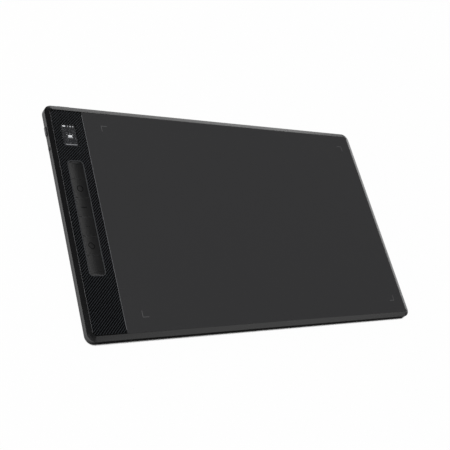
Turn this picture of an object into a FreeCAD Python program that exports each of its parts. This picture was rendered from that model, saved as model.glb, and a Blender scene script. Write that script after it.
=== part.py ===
import FreeCAD, Part
import math
import os
import re
import Sketcher

# A large wireless pen tablet that lies on a desk. X runs to the right, Y to the back and Z up.
# The origin is on the desk under the middle of the case. Lengths are in millimetres.
# The case is as wide and deep as what its face carries, and as high as what is stacked inside it.

SIZES = {
    # Face, from its left rim to its right rim and from front to back
    "bevel_run": 5.1,
    "bevel_drop": 1.5,
    "rim_land": 0.3,
    "panel_width": 35.2,
    "margin_left": 20.7,
    "active_width": 345.0,
    "margin_right": 14.3,
    "margin_front": 14.75,
    "active_depth": 215.0,
    "margin_back": 16.95,
    "corner_radius": 9.0,
    "face_gap": 0.1,
    "face_chamfer": 0.25,
    # Heights, from the desk up
    "foot_height": 0.8,
    "cover_floor": 1.2,
    "tape_thickness": 0.3,
    "battery_thickness": 3.0,
    "battery_gap": 0.3,
    "stiffener_thickness": 0.8,
    "shield_thickness": 0.3,
    "sensor_thickness": 0.8,
    "face_plate": 1.3,
    "film_thickness": 0.5,
    "panel_thickness": 0.8,
    # Case walls and the tongue that joins the two shells
    "wall": 2.0,
    "lower_wall": 4.2,
    "bottom_chamfer": 0.4,
    "tongue_inset": 1.15,
    "tongue_thickness": 0.8,
    "tongue_height": 0.8,
    "tongue_gap": 0.1,
    # Screws that hold the two shells together
    "case_screw_inset": 9.0,
    "case_screw_radius": 0.9,
    "case_screw_length": 4.6,
    "case_head_radius": 1.9,
    "case_head_height": 1.1,
    "case_head_depth": 1.4,
    "case_boss_radius": 2.6,
    "cover_boss_radius": 3.4,
    "cover_boss_height": 1.4,
    "screw_gap": 0.15,
    "pilot_gap": 0.05,
    "pilot_spare": 0.3,
    # Screws that hold the boards
    "board_screw_radius": 0.65,
    "board_screw_length": 2.0,
    "board_head_radius": 1.4,
    "board_head_height": 0.8,
    "board_boss_radius": 2.0,
    "board_thickness": 0.8,
    # Ribs under the sensor
    "rib_thickness": 1.2,
    "rib_inset": 6.0,
    # Feet
    "foot_length": 60.0,
    "foot_width": 10.0,
    "foot_recess": 0.5,
    "foot_gap": 0.1,
    "foot_edge": 0.3,
    "foot_inset_side": 23.0,
    "foot_inset_end": 15.75,
    # Six keys in one opening
    "control_shift": 0.4,
    "key_row_width": 16.7,
    "key_row_length": 126.2,
    "key_row_corner": 3.6,
    "key_side_gap": 0.2,
    "key_gap": 0.3,
    "key_edge_drop": 0.3,
    "key_sag": 0.9,
    "key_edge": 0.25,
    "key_travel": 0.7,
    "key_stop_gap": 0.1,
    "flange_reach": 1.0,
    "flange_thickness": 0.8,
    "stem_radius": 2.2,
    "stem_height": 0.4,
    "key_wall": 1.6,
    "key_hollow": 0.9,
    "bezel_width": 0.9,
    "bezel_chamfer": 0.3,
    "dome_gap": 0.1,
    "dome_spare": 0.4,
    "dome_base": 3.4,
    "dome_crown": 2.2,
    "mat_base": 0.4,
    "mat_overlap": 1.6,
    "key_board_side": 6.45,
    "key_board_end": 6.9,
    "key_screw_side": 2.5,
    "key_screw_end": 3.0,
    # Status display and its window
    "display_width": 14.9,
    "display_depth": 24.9,
    "display_from_keys": 30.05,
    "window_border": 0.8,
    "window_ledge": 0.5,
    "ledge_thickness": 0.5,
    "window_corner": 0.8,
    "window_gap": 0.05,
    "gasket_thickness": 0.2,
    "module_thickness": 1.6,
    "module_side": 1.35,
    "module_head": 1.6,
    "module_chin": 4.5,
    "module_gap": 0.15,
    "holder_wall": 1.0,
    "holder_ear": 4.6,
    # Main board and what sits on it
    "main_board_width": 32.0,
    "main_board_from_back": 4.75,
    "main_board_from_keys": 2.0,
    "main_standoff": 0.5,
    "standoff_radius": 2.2,
    "board_hole_inset": 3.5,
    "board_corner": 1.0,
    "board_clearance": 1.0,
    "can_from_left": 18.6,
    "can_from_back": 22.9,
    "can_size": 14.0,
    "can_height": 1.4,
    "can_wall": 0.2,
    "aerial_from_right": 8.0,
    "aerial_from_back": 9.5,
    "aerial_length": 8.0,
    "aerial_width": 2.0,
    "aerial_height": 1.2,
    "plug_width": 5.0,
    "plug_depth": 6.0,
    "plug_height": 2.0,
    "plug_from_right": 1.0,
    "plug_from_front": 12.75,
    # Charging port
    "port_from_left": 22.9,
    "usb_width": 8.94,
    "usb_height": 3.2,
    "usb_depth": 7.35,
    "usb_shell": 0.3,
    "usb_tongue_width": 6.7,
    "usb_tongue_height": 0.7,
    "usb_tongue_depth": 4.6,
    "usb_mouth_depth": 6.2,
    "usb_sunk": 0.8,
    "usb_gap": 0.12,
    "surround_length": 15.2,
    "surround_proud": 0.65,
    "surround_lip": 0.65,
    "surround_flange": 0.25,
    "surround_corner": 1.2,
    "surround_gap": 0.1,
    "surround_grip": 0.8,
    # Power button, its switch and the status light
    "button_from_back": 29.8,
    "button_length": 10.4,
    "button_proud": 1.2,
    "button_gap": 0.3,
    "button_travel": 0.4,
    "button_corner": 1.0,
    "button_edge": 0.3,
    "button_flange": 1.0,
    "post_width": 3.0,
    "post_height": 1.4,
    "switch_length": 4.7,
    "switch_depth": 3.5,
    "switch_height": 1.6,
    "switch_overhang": 0.9,
    "plunger_length": 1.9,
    "plunger_height": 0.8,
    "plunger_out": 1.0,
    "plunger_in": 0.6,
    "plunger_gap": 0.05,
    "touch_gap": 0.1,
    "light_from_board_end": 6.45,
    "light_length": 2.8,
    "light_proud": 0.9,
    "led_length": 1.6,
    "led_width": 0.8,
    "led_height": 0.6,
    # Sensor, its backing plates, the battery and the ribbons
    "sensor_margin": 5.5,
    "land_width": 6.0,
    "slot_length": 34.0,
    "slot_width": 8.0,
    "battery_width": 70.0,
    "battery_depth": 95.0,
    "battery_inset": 10.0,
    "battery_from_back": 31.0,
    "battery_room": 1.5,
    "battery_corner": 1.2,
    "ribbon_thickness": 0.2,
    "ribbon_drop": 2.0,
    "ribbon_land": 6.0,
    "ribbon_from_plug": 3.25,
    "key_ribbon_land": 3.5,
    "ribbon_shift": 4.5,
    "ribbon_width": 8.0,
    "sensor_ribbon_width": 12.0,
    "lead_radius": 0.6,
    "lead_pitch": 1.6,
}
KEYS = 6
CASE_SCREW_COLUMNS = (-1, 0, 1)
RIBS_ACROSS = 7
RIBS_ALONG = 4
SLOTS_ACROSS = 6
SLOTS_ALONG = 3
CLOSE = 1e-4

# Places and sizes that follow from the sizes above
PLACES = {
    "rim": "bevel_run + rim_land",
    "body_width": "2 * rim + panel_width + margin_left + active_width + margin_right",
    "body_depth": "2 * rim + margin_front + active_depth + margin_back",
    "right_side": "body_width / 2",
    "left_side": "-body_width / 2",
    "back_side": "body_depth / 2",
    "front_side": "-body_depth / 2",
    "face_width": "body_width - 2 * rim",
    "face_depth": "body_depth - 2 * rim",
    "face_corner": "corner_radius - rim",
    "divider": "left_side + rim + panel_width",
    "panel_middle": "divider - panel_width / 2",
    "control_x": "panel_middle - control_shift",
    "active_x": "divider + margin_left + active_width / 2",
    "active_y": "front_side + rim + margin_front + active_depth / 2",
    "floor_top": "foot_height + cover_floor",
    "rib_top": "floor_top + tape_thickness + battery_thickness + battery_gap",
    "stiffener_top": "rib_top + stiffener_thickness",
    "shield_top": "stiffener_top + shield_thickness",
    "ceiling": "shield_top + sensor_thickness",
    "film_seat": "ceiling + face_plate",
    "top": "film_seat + film_thickness",
    "panel_seat": "top - panel_thickness",
    "parting": "foot_height + lower_wall",
    "sensor_width": "active_width + 2 * sensor_margin",
    "sensor_depth": "active_depth + 2 * sensor_margin",
    "sensor_left": "active_x - sensor_width / 2",
    "key_width": "key_row_width - 2 * key_side_gap",
    "key_pitch": f"(key_row_length - 2 * key_side_gap + key_gap) / {KEYS}",
    "key_length": "key_pitch - key_gap",
    "key_top": "top - key_edge_drop",
    "flange_top": "ceiling - key_stop_gap",
    "flange_bottom": "flange_top - flange_thickness",
    "key_bottom": "flange_bottom - stem_height",
    "trough_radius": "(key_width * key_width / 4 + key_sag * key_sag) / (2 * key_sag)",
    "dome_top": "key_bottom - dome_gap",
    "dome_height": "key_travel + dome_spare",
    "mat_top": "dome_top - dome_height",
    "key_board_top": "mat_top - mat_base",
    "key_board_bottom": "key_board_top - board_thickness",
    "key_board_width": "key_row_width + 2 * key_board_side",
    "key_board_length": "key_row_length + 2 * key_board_end",
    "display_y": "key_row_length / 2 + display_from_keys",
    "window_width": "display_width + 2 * window_border",
    "window_depth": "display_depth + 2 * window_border",
    "module_top": "panel_seat - ledge_thickness - gasket_thickness",
    "module_bottom": "module_top - module_thickness",
    "module_width": "display_width + 2 * module_side",
    "module_depth": "display_depth + module_head + module_chin",
    "module_y": "display_y + (module_head - module_chin) / 2",
    "holder_bottom": "module_bottom - holder_wall",
    "holder_width": "module_width + 2 * module_gap + 2 * holder_wall",
    "holder_depth": "module_depth + 2 * module_gap + 2 * holder_wall",
    "ear_x": "holder_width / 2 + board_boss_radius + module_gap",
    "board_bottom": "floor_top + main_standoff",
    "board_top": "board_bottom + board_thickness",
    "board_middle": "board_bottom + board_thickness / 2",
    "board_left": "panel_middle - main_board_width / 2",
    "board_right": "panel_middle + main_board_width / 2",
    "board_back": "back_side - main_board_from_back",
    "board_front": "key_board_length / 2 + main_board_from_keys",
    "port_x": "left_side + port_from_left",
    "port_z": "board_top + usb_height / 2",
    "port_width": "usb_width + 2 * usb_gap",
    "port_height": "usb_height + 2 * usb_gap",
    "surround_height": "port_height + 2 * surround_lip",
    "surround_body": "surround_length - 2 * surround_corner",
    "button_y": "back_side - button_from_back",
    "button_z": "(floor_top + parting) / 2",
    "button_height": "parting - floor_top - button_gap",
    "flange_x": "left_side + wall + touch_gap",
    "switch_left": "board_left - switch_overhang",
    "post_end": "switch_left - plunger_out - touch_gap",
    "light_y": "board_front + light_from_board_end",
    "battery_x": "sensor_left + battery_inset + battery_width / 2",
    "battery_y": "back_side - battery_from_back - battery_depth / 2",
    "battery_bottom": "floor_top + tape_thickness",
    "plug_x": "board_right - plug_width / 2 - plug_from_right",
    "plug_y": "board_front + plug_from_front",
    "can_x": "board_left + can_from_left",
    "can_y": "board_back - can_from_back",
    "aerial_x": "board_right - aerial_from_right",
    "aerial_y": "board_back - aerial_from_back",
    "led_x": "board_left + touch_gap + led_width / 2",
    "sensor_ribbon_y": "plug_y + plug_depth / 2 + ribbon_from_plug + sensor_ribbon_width / 2",
}

doc = FreeCAD.newDocument("pen_tablet")
sheet = doc.addObject("Spreadsheet::Sheet", "sizes")
for row, (size_name, size) in enumerate(SIZES.items(), start=1):
    sheet.set(f"A{row}", size_name)
    sheet.set(f"B{row}", str(size))
    sheet.setAlias(f"B{row}", size_name)
doc.recompute()
pieces = []


def spell(formula):
    """Write a formula of size and place names out as references to the sheet's cells."""

    def cell(match):
        word = match.group(0)
        return f"({spell(PLACES[word])})" if word in PLACES else f"sizes.{word}"

    return re.sub(r"[a-z][a-z_]*", cell, formula)


def mm(formula):
    """The value of a formula with the sizes as they are."""
    return float(sheet.evalExpression(spell(formula)))


def bind(thing, what, formula):
    """Make a property of an object follow a formula."""
    thing.setExpression(what, spell(formula))


def new_body(label, x="0", y="0"):
    """An empty body of its own, placed on the desk at x and y."""
    body = doc.addObject("PartDesign::Body", label)
    body.Label = label
    body.AllowCompound = True
    bind(body, "Placement.Base.x", x)
    bind(body, "Placement.Base.y", y)
    pieces.append(body)
    return body


def sketch_at(body, plane, x="0", y="0", z="0"):
    """A sketch parallel to one of the body's own planes, with its origin at x, y, z of the body."""
    origin_plane = next(f for f in body.Origin.OriginFeatures if f.Role == f"{plane}_Plane")
    sketch = body.newObject("Sketcher::SketchObject", "Sketch")
    sketch.AttachmentSupport = [(origin_plane, "")]
    sketch.MapMode = "FlatFace"
    offsets = {"XY": (x, y, z), "XZ": (x, z, f"-({y})"), "YZ": (y, z, x)}[plane]
    for axis, offset in zip("xyz", offsets):
        bind(sketch, f"AttachmentOffset.Base.{axis}", offset)
    return sketch


def dimension(sketch, kind, *what, formula):
    """A dimension of the sketch that follows a formula."""
    number = sketch.addConstraint(Sketcher.Constraint(kind, *what, mm(formula)))
    name = f"{kind}_{number}"
    sketch.renameConstraint(number, name)
    bind(sketch, f"Constraints.{name}", formula)


def fix_point(sketch, geometry, point, x, y):
    """Hold a point of the sketch at x and y from the sketch's origin."""
    for kind, formula, axis in (("DistanceX", x, -2), ("DistanceY", y, -1)):
        if abs(mm(formula)) < CLOSE:
            sketch.addConstraint(Sketcher.Constraint("PointOnObject", geometry, point, axis))
        elif mm(formula) > 0:
            dimension(sketch, kind, -1, 1, geometry, point, formula=formula)
        else:
            dimension(sketch, kind, geometry, point, -1, 1, formula=f"-({formula})")


def draw_rectangle(sketch, width, depth, corner=None, rounded=(True, True, True, True)):
    """A rectangle about the sketch's origin. Its corners go round from the lower left one."""
    half = FreeCAD.Vector(mm(width) / 2, mm(depth) / 2, 0)
    radius = mm(corner) if corner else 0.0
    turns = [(-1, -1), (1, -1), (1, 1), (-1, 1)]
    ends = [FreeCAD.Vector(x * half.x, y * half.y, 0) for x, y in turns]
    cuts = [radius if corner and turn else 0.0 for turn in rounded]
    lines = []
    for k in range(4):
        way = (ends[(k + 1) % 4] - ends[k]).normalize()
        line = Part.LineSegment(ends[k] + way * cuts[k], ends[(k + 1) % 4] - way * cuts[(k + 1) % 4])
        lines.append(sketch.addGeometry(line))
    for line, kind in zip(lines, ("Horizontal", "Vertical", "Horizontal", "Vertical")):
        sketch.addConstraint(Sketcher.Constraint(kind, line))
    first_arc = None
    for k, (x, y) in enumerate(turns):
        before, after = lines[k - 1], lines[k]
        if not cuts[k]:
            sketch.addConstraint(Sketcher.Constraint("Coincident", before, 2, after, 1))
            continue
        centre = ends[k] - FreeCAD.Vector(x * radius, y * radius, 0)
        circle = Part.Circle(centre, FreeCAD.Vector(0, 0, 1), radius)
        start = math.pi + k * math.pi / 2
        arc = sketch.addGeometry(Part.ArcOfCircle(circle, start, start + math.pi / 2))
        sketch.addConstraint(Sketcher.Constraint("Tangent", before, 2, arc, 1))
        sketch.addConstraint(Sketcher.Constraint("Tangent", arc, 2, after, 1))
        if first_arc is None:
            first_arc = arc
            dimension(sketch, "Radius", arc, formula=corner)
        else:
            sketch.addConstraint(Sketcher.Constraint("Equal", first_arc, arc))
    front, right, back, left = lines
    dimension(sketch, "DistanceX", left, 1, -1, 1, formula=f"({width}) / 2")
    dimension(sketch, "DistanceX", -1, 1, right, 1, formula=f"({width}) / 2")
    dimension(sketch, "DistanceY", front, 1, -1, 1, formula=f"({depth}) / 2")
    dimension(sketch, "DistanceY", -1, 1, back, 1, formula=f"({depth}) / 2")


def draw_circles(sketch, radius, places=(("0", "0"),)):
    """Equal circles at a list of places."""
    first = None
    for x, y in places:
        centre = FreeCAD.Vector(mm(x), mm(y), 0)
        circle = sketch.addGeometry(Part.Circle(centre, FreeCAD.Vector(0, 0, 1), mm(radius)))
        if first is None:
            first = circle
            dimension(sketch, "Radius", circle, formula=radius)
        else:
            sketch.addConstraint(Sketcher.Constraint("Equal", first, circle))
        fix_point(sketch, circle, 3, x, y)


def draw_obround(sketch, width, height):
    """A slot with round ends about the sketch's origin."""
    reach, radius = (mm(width) - mm(height)) / 2, mm(height) / 2
    up = FreeCAD.Vector(0, 0, 1)
    quarter = math.pi / 2
    left_circle = Part.Circle(FreeCAD.Vector(-reach, 0, 0), up, radius)
    right_circle = Part.Circle(FreeCAD.Vector(reach, 0, 0), up, radius)
    over = sketch.addGeometry(
        Part.LineSegment(FreeCAD.Vector(reach, radius, 0), FreeCAD.Vector(-reach, radius, 0))
    )
    left = sketch.addGeometry(Part.ArcOfCircle(left_circle, quarter, 3 * quarter))
    under = sketch.addGeometry(
        Part.LineSegment(FreeCAD.Vector(-reach, -radius, 0), FreeCAD.Vector(reach, -radius, 0))
    )
    right = sketch.addGeometry(Part.ArcOfCircle(right_circle, -quarter, quarter))
    for first, second in ((over, left), (left, under), (under, right), (right, over)):
        sketch.addConstraint(Sketcher.Constraint("Tangent", first, 2, second, 1))
    sketch.addConstraint(Sketcher.Constraint("Equal", left, right))
    dimension(sketch, "Radius", left, formula=f"({height}) / 2")
    fix_point(sketch, left, 3, f"-({width} - {height}) / 2", "0")
    fix_point(sketch, right, 3, f"({width} - {height}) / 2", "0")


def draw_polygon(sketch, corners):
    """A closed outline of straight lines through a list of corners."""
    points = [FreeCAD.Vector(mm(x), mm(y), 0) for x, y in corners]
    lines = []
    for k, point in enumerate(points):
        lines.append(sketch.addGeometry(Part.LineSegment(point, points[(k + 1) % len(points)])))
    for k, line in enumerate(lines):
        sketch.addConstraint(Sketcher.Constraint("Coincident", lines[k - 1], 2, line, 1))
        fix_point(sketch, line, 1, *corners[k])


def pad(body, sketch, length, flip=False, both_ways=False):
    """Add the sketch's outline to the body, along the sketch's normal unless flipped."""
    feature = body.newObject("PartDesign::Pad", "Pad")
    feature.Profile = sketch
    feature.Reversed = flip
    feature.SideType = "Symmetric" if both_ways else "One side"
    bind(feature, "Length", length)
    doc.recompute()
    return feature


def cut(body, sketch, depth, flip=False, both_ways=False):
    """Cut the sketch's outline out of the body, against the sketch's normal unless flipped."""
    before = body.Shape.Volume
    feature = body.newObject("PartDesign::Pocket", "Pocket")
    feature.Profile = sketch
    feature.Reversed = flip
    feature.SideType = "Symmetric" if both_ways else "One side"
    bind(feature, "Length", depth)
    doc.recompute()
    if body.Shape.Volume > before - CLOSE:
        raise RuntimeError(f"a cut in {body.Label} removes nothing")
    return feature


def edges_where(body, test):
    """The edges of the body's last feature that pass a test of their bounding boxes."""
    edges = enumerate(body.Tip.Shape.Edges, start=1)
    return [f"Edge{k}" for k, edge in edges if test(edge.BoundBox)]


def level_edges(body, height):
    """The edges that lie flat at one height."""
    z = mm(height)
    return edges_where(body, lambda box: abs(box.ZMin - z) < CLOSE and abs(box.ZMax - z) < CLOSE)


def bevel_edges(body, edges, size, run=None):
    """Bevel some edges of the body's last feature, equally or with a run of its own."""
    base = body.Tip
    feature = body.newObject("PartDesign::Chamfer", "Chamfer")
    feature.Base = (base, edges)
    bind(feature, "Size", size)
    if run:
        feature.ChamferType = "Two distances"
        bind(feature, "Size2", run)
    doc.recompute()


def case_screw_places():
    """Where the case screws stand, in a row along the front and another along the back."""
    places = []
    for side in ("-", ""):
        for column in CASE_SCREW_COLUMNS:
            x = f"{column} * (body_width / 2 - case_screw_inset)"
            places.append((x, f"{side}(body_depth / 2 - case_screw_inset)"))
    return places


def key_screw_places():
    """Where the key board is screwed to the front case, beside the mat."""
    reach = "(key_board_width / 2 - key_screw_side)"
    ends = "(key_row_length / 2 - key_screw_end)"
    columns = (f"control_x - {reach}", f"control_x + {reach}")
    return [(x, y) for y in (f"-{ends}", ends) for x in columns]


def holder_screw_places():
    """Where the display's tray is screwed to the front case, through its two ears."""
    return [("control_x - ear_x", "display_y"), ("control_x + ear_x", "display_y")]


def main_screw_places():
    """Where the main board is screwed to the back cover, in two opposite corners."""
    return [
        ("board_left + board_hole_inset", "board_front + board_hole_inset"),
        ("board_right - board_hole_inset", "board_back - board_hole_inset"),
    ]


def key_places():
    """The middle of each key, from the back one to the front one."""
    return [f"{(KEYS - 1) / 2 - k} * key_pitch" for k in range(KEYS)]


def inset(size, by):
    """A size that is drawn in by the same amount at both ends."""
    return f"{size} - 2 * ({by})"


def cut_port_notch(body):
    """Half of the opening in the back wall that the port's surround snaps into."""
    notch = sketch_at(body, "XZ", x="port_x", y="back_side", z="port_z")
    draw_rectangle(
        notch,
        inset("surround_body", "-surround_gap"),
        inset("surround_height", "surround_flange - surround_gap"),
    )
    cut(body, notch, "wall", flip=True)


def make_top_case():
    """The bevelled front shell: its rim, the seats of the film and the panel, and its bosses."""
    body = new_body("top_case")
    outside = sketch_at(body, "XY", z="parting")
    draw_rectangle(outside, "body_width", "body_depth", "corner_radius")
    pad(body, outside, "top - parting")
    bevel_edges(body, level_edges(body, "top"), "bevel_drop", "bevel_run")
    inside = sketch_at(body, "XY", z="parting")
    draw_rectangle(
        inside, inset("body_width", "wall"), inset("body_depth", "wall"), "corner_radius - wall"
    )
    cut(body, inside, "ceiling - parting", flip=True)
    groove_inset = "tongue_inset - tongue_gap"
    groove = sketch_at(body, "XY", z="parting")
    draw_rectangle(
        groove,
        inset("body_width", groove_inset),
        inset("body_depth", groove_inset),
        f"corner_radius - ({groove_inset})",
    )
    cut(body, groove, "tongue_height + tongue_gap", flip=True)
    film_seat = sketch_at(body, "XY", z="top")
    draw_rectangle(film_seat, "face_width", "face_depth", "face_corner")
    cut(body, film_seat, "film_thickness")
    panel_seat = sketch_at(body, "XY", x="panel_middle", z="film_seat")
    draw_rectangle(
        panel_seat, "panel_width", "face_depth", "face_corner", (True, False, False, True)
    )
    cut(body, panel_seat, "panel_thickness - film_thickness")
    keys = sketch_at(body, "XY", x="control_x", z="panel_seat")
    draw_rectangle(keys, "key_row_width", "key_row_length", "key_row_corner")
    cut(body, keys, "panel_seat - ceiling")
    view = sketch_at(body, "XY", x="control_x", y="display_y", z="panel_seat")
    draw_rectangle(
        view, inset("window_width", "window_ledge"), inset("window_depth", "window_ledge")
    )
    cut(body, view, "ledge_thickness")
    recess = sketch_at(body, "XY", x="control_x", y="module_y", z="ceiling")
    draw_rectangle(
        recess, inset("module_width", "-module_gap"), inset("module_depth", "-module_gap")
    )
    cut(body, recess, "panel_seat - ledge_thickness - ceiling", flip=True)
    bosses = sketch_at(body, "XY", z="floor_top + cover_boss_height")
    draw_circles(bosses, "case_boss_radius", case_screw_places())
    pad(body, bosses, "ceiling - floor_top - cover_boss_height")
    pilots = sketch_at(body, "XY", z="floor_top + cover_boss_height")
    draw_circles(pilots, "case_screw_radius + pilot_gap", case_screw_places())
    screw_end = "foot_height + case_head_depth + case_screw_length"
    cut(body, pilots, f"{screw_end} + pilot_spare - floor_top - cover_boss_height", flip=True)
    seats = ((key_screw_places(), "key_board_top"), (holder_screw_places(), "module_bottom"))
    for places, seat in seats:
        bosses = sketch_at(body, "XY", z=seat)
        draw_circles(bosses, "board_boss_radius", places)
        pad(body, bosses, f"ceiling - {seat}")
        pilots = sketch_at(body, "XY", z=seat)
        draw_circles(pilots, "board_screw_radius + pilot_gap", places)
        cut(body, pilots, "board_screw_length + pilot_spare - board_thickness", flip=True)
    cut_port_notch(body)
    return body


def make_back_cover():
    """The tray that closes the case: its tongue, ribs, bosses, foot seats and screw holes."""
    body = new_body("back_cover")
    outside = sketch_at(body, "XY", z="foot_height")
    draw_rectangle(outside, "body_width", "body_depth", "corner_radius")
    pad(body, outside, "lower_wall")
    bevel_edges(body, level_edges(body, "foot_height"), "bottom_chamfer")
    inside = sketch_at(body, "XY", z="parting")
    draw_rectangle(
        inside, inset("body_width", "wall"), inset("body_depth", "wall"), "corner_radius - wall"
    )
    cut(body, inside, "parting - floor_top")
    tongue = sketch_at(body, "XY", z="parting")
    for step in ("tongue_inset", "tongue_inset + tongue_thickness"):
        draw_rectangle(
            tongue, inset("body_width", step), inset("body_depth", step), f"corner_radius - ({step})"
        )
    pad(body, tongue, "tongue_height")

    rib_span = "sensor_width - 2 * rib_inset"
    rib_reach = "sensor_depth - 2 * rib_inset"
    across = sketch_at(
        body, "XY", x="sensor_left + rib_inset + rib_thickness / 2", y="active_y", z="floor_top"
    )
    draw_rectangle(across, "rib_thickness", rib_reach)
    rib = pad(body, across, "rib_top - floor_top")
    repeat(body, rib, (across, ["H_Axis"]), f"{rib_span} - rib_thickness", RIBS_ACROSS)
    along = sketch_at(
        body,
        "XY",
        x="active_x",
        y=f"active_y - ({rib_reach}) / 2 + rib_thickness / 2",
        z="floor_top",
    )
    draw_rectangle(along, rib_span, "rib_thickness")
    rib = pad(body, along, "rib_top - floor_top")
    repeat(body, rib, (along, ["V_Axis"]), f"{rib_reach} - rib_thickness", RIBS_ALONG)
    bay_left = "(sensor_left - battery_room)"
    bay_right = "(battery_x + battery_width / 2 + battery_room)"
    bay = sketch_at(
        body, "XY", x=f"({bay_left} + {bay_right}) / 2", y="battery_y", z="rib_top"
    )
    draw_rectangle(bay, f"{bay_right} - {bay_left}", inset("battery_depth", "-battery_room"))
    cut(body, bay, "rib_top - floor_top")

    bosses = sketch_at(body, "XY", z="floor_top")
    draw_circles(bosses, "cover_boss_radius", case_screw_places())
    pad(body, bosses, "cover_boss_height")
    holes = sketch_at(body, "XY", z="foot_height")
    draw_circles(holes, "case_screw_radius + screw_gap", case_screw_places())
    cut(body, holes, "cover_floor + cover_boss_height", flip=True)
    heads = sketch_at(body, "XY", z="foot_height")
    draw_circles(heads, "case_head_radius + screw_gap", case_screw_places())
    cut(body, heads, "case_head_depth", flip=True)

    standoffs = sketch_at(body, "XY", z="floor_top")
    draw_circles(standoffs, "standoff_radius", main_screw_places())
    pad(body, standoffs, "main_standoff")
    pilots = sketch_at(body, "XY", z="board_bottom")
    draw_circles(pilots, "board_screw_radius + pilot_gap", main_screw_places())
    cut(body, pilots, "board_screw_length + pilot_gap - board_thickness")

    for x, y in foot_places():
        seat = sketch_at(body, "XY", x=x, y=y, z="foot_height")
        draw_obround(seat, inset("foot_length", "-foot_gap"), inset("foot_width", "-foot_gap"))
        cut(body, seat, "foot_recess", flip=True)

    cut_port_notch(body)
    for y, length in (("button_y", "button_length"), ("light_y", "light_length")):
        slot = sketch_at(body, "YZ", x="left_side", y=y, z="(floor_top + parting) / 2")
        draw_rectangle(slot, inset(length, "-button_gap"), "parting - floor_top")
        cut(body, slot, "wall", flip=True)
    return body


def repeat(body, feature, direction, span, count):
    """Copies of a feature spread evenly over a span."""
    pattern = body.newObject("PartDesign::LinearPattern", "LinearPattern")
    pattern.Originals = [feature]
    pattern.Direction = direction
    pattern.Mode = "Extent"
    bind(pattern, "Length", span)
    pattern.Occurrences = count
    body.Tip = pattern
    doc.recompute()
    return pattern


def foot_places():
    """The middle of each foot, from the front left one to the back right one."""
    x = "(body_width / 2 - foot_inset_side - foot_length / 2)"
    y = "(body_depth / 2 - foot_inset_end - foot_width / 2)"
    return [(f"{side}{x}", f"{end}{y}") for end in ("-", "") for side in ("-", "")]


def make_feet():
    """Four long rubber pads pressed into the underside."""
    names = ("foot_front_left", "foot_front_right", "foot_back_left", "foot_back_right")
    for name, (x, y) in zip(names, foot_places()):
        body = new_body(name, x, y)
        outline = sketch_at(body, "XY")
        draw_obround(outline, "foot_length", "foot_width")
        pad(body, outline, "foot_height + foot_recess")
        bevel_edges(body, level_edges(body, "0"), "foot_edge")


def make_drawing_surface():
    """The textured film that the pen is used on, from the divider to the right rim."""
    body = new_body("drawing_surface")
    width = "(right_side - rim - divider)"
    sheet_outline = sketch_at(body, "XY", x=f"divider + {width} / 2", z="film_seat")
    draw_rectangle(
        sheet_outline,
        inset(width, "face_gap"),
        inset("face_depth", "face_gap"),
        "face_corner - face_gap",
        (False, True, True, False),
    )
    pad(body, sheet_outline, "film_thickness")


def make_control_panel():
    """The ridged strip at the left, open for the window and for the key trim."""
    body = new_body("control_panel")
    outline = sketch_at(body, "XY", x="panel_middle", z="panel_seat")
    draw_rectangle(
        outline,
        inset("panel_width", "face_gap"),
        inset("face_depth", "face_gap"),
        "face_corner - face_gap",
        (True, False, False, True),
    )
    pad(body, outline, "panel_thickness")
    bevel_edges(body, level_edges(body, "top"), "face_chamfer")
    window = sketch_at(body, "XY", x="control_x", y="display_y", z="top")
    draw_rectangle(
        window,
        inset("window_width", "-window_gap"),
        inset("window_depth", "-window_gap"),
        "window_corner + window_gap",
    )
    cut(body, window, "panel_thickness")
    trim = sketch_at(body, "XY", x="control_x", z="top")
    draw_rectangle(
        trim,
        inset("key_row_width", "-(bezel_width + window_gap)"),
        inset("key_row_length", "-(bezel_width + window_gap)"),
        "key_row_corner + bezel_width + window_gap",
    )
    cut(body, trim, "panel_thickness")


def make_key_bezel():
    """The thin trim ring round the six keys, chamfered towards them."""
    body = new_body("key_bezel", "control_x")
    ring = sketch_at(body, "XY", z="panel_seat")
    draw_rectangle(
        ring,
        inset("key_row_width", "-bezel_width"),
        inset("key_row_length", "-bezel_width"),
        "key_row_corner + bezel_width",
    )
    draw_rectangle(ring, "key_row_width", "key_row_length", "key_row_corner")
    pad(body, ring, "panel_thickness")
    side = mm("(key_row_width + bezel_width) / 2")
    end = mm("(key_row_length + bezel_width) / 2")
    inner = edges_where(
        body,
        lambda box: box.ZMin > mm("top") - CLOSE
        and max(-box.XMin, box.XMax) < side
        and max(-box.YMin, box.YMax) < end,
    )
    bevel_edges(body, inner, "bezel_chamfer")


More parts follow.
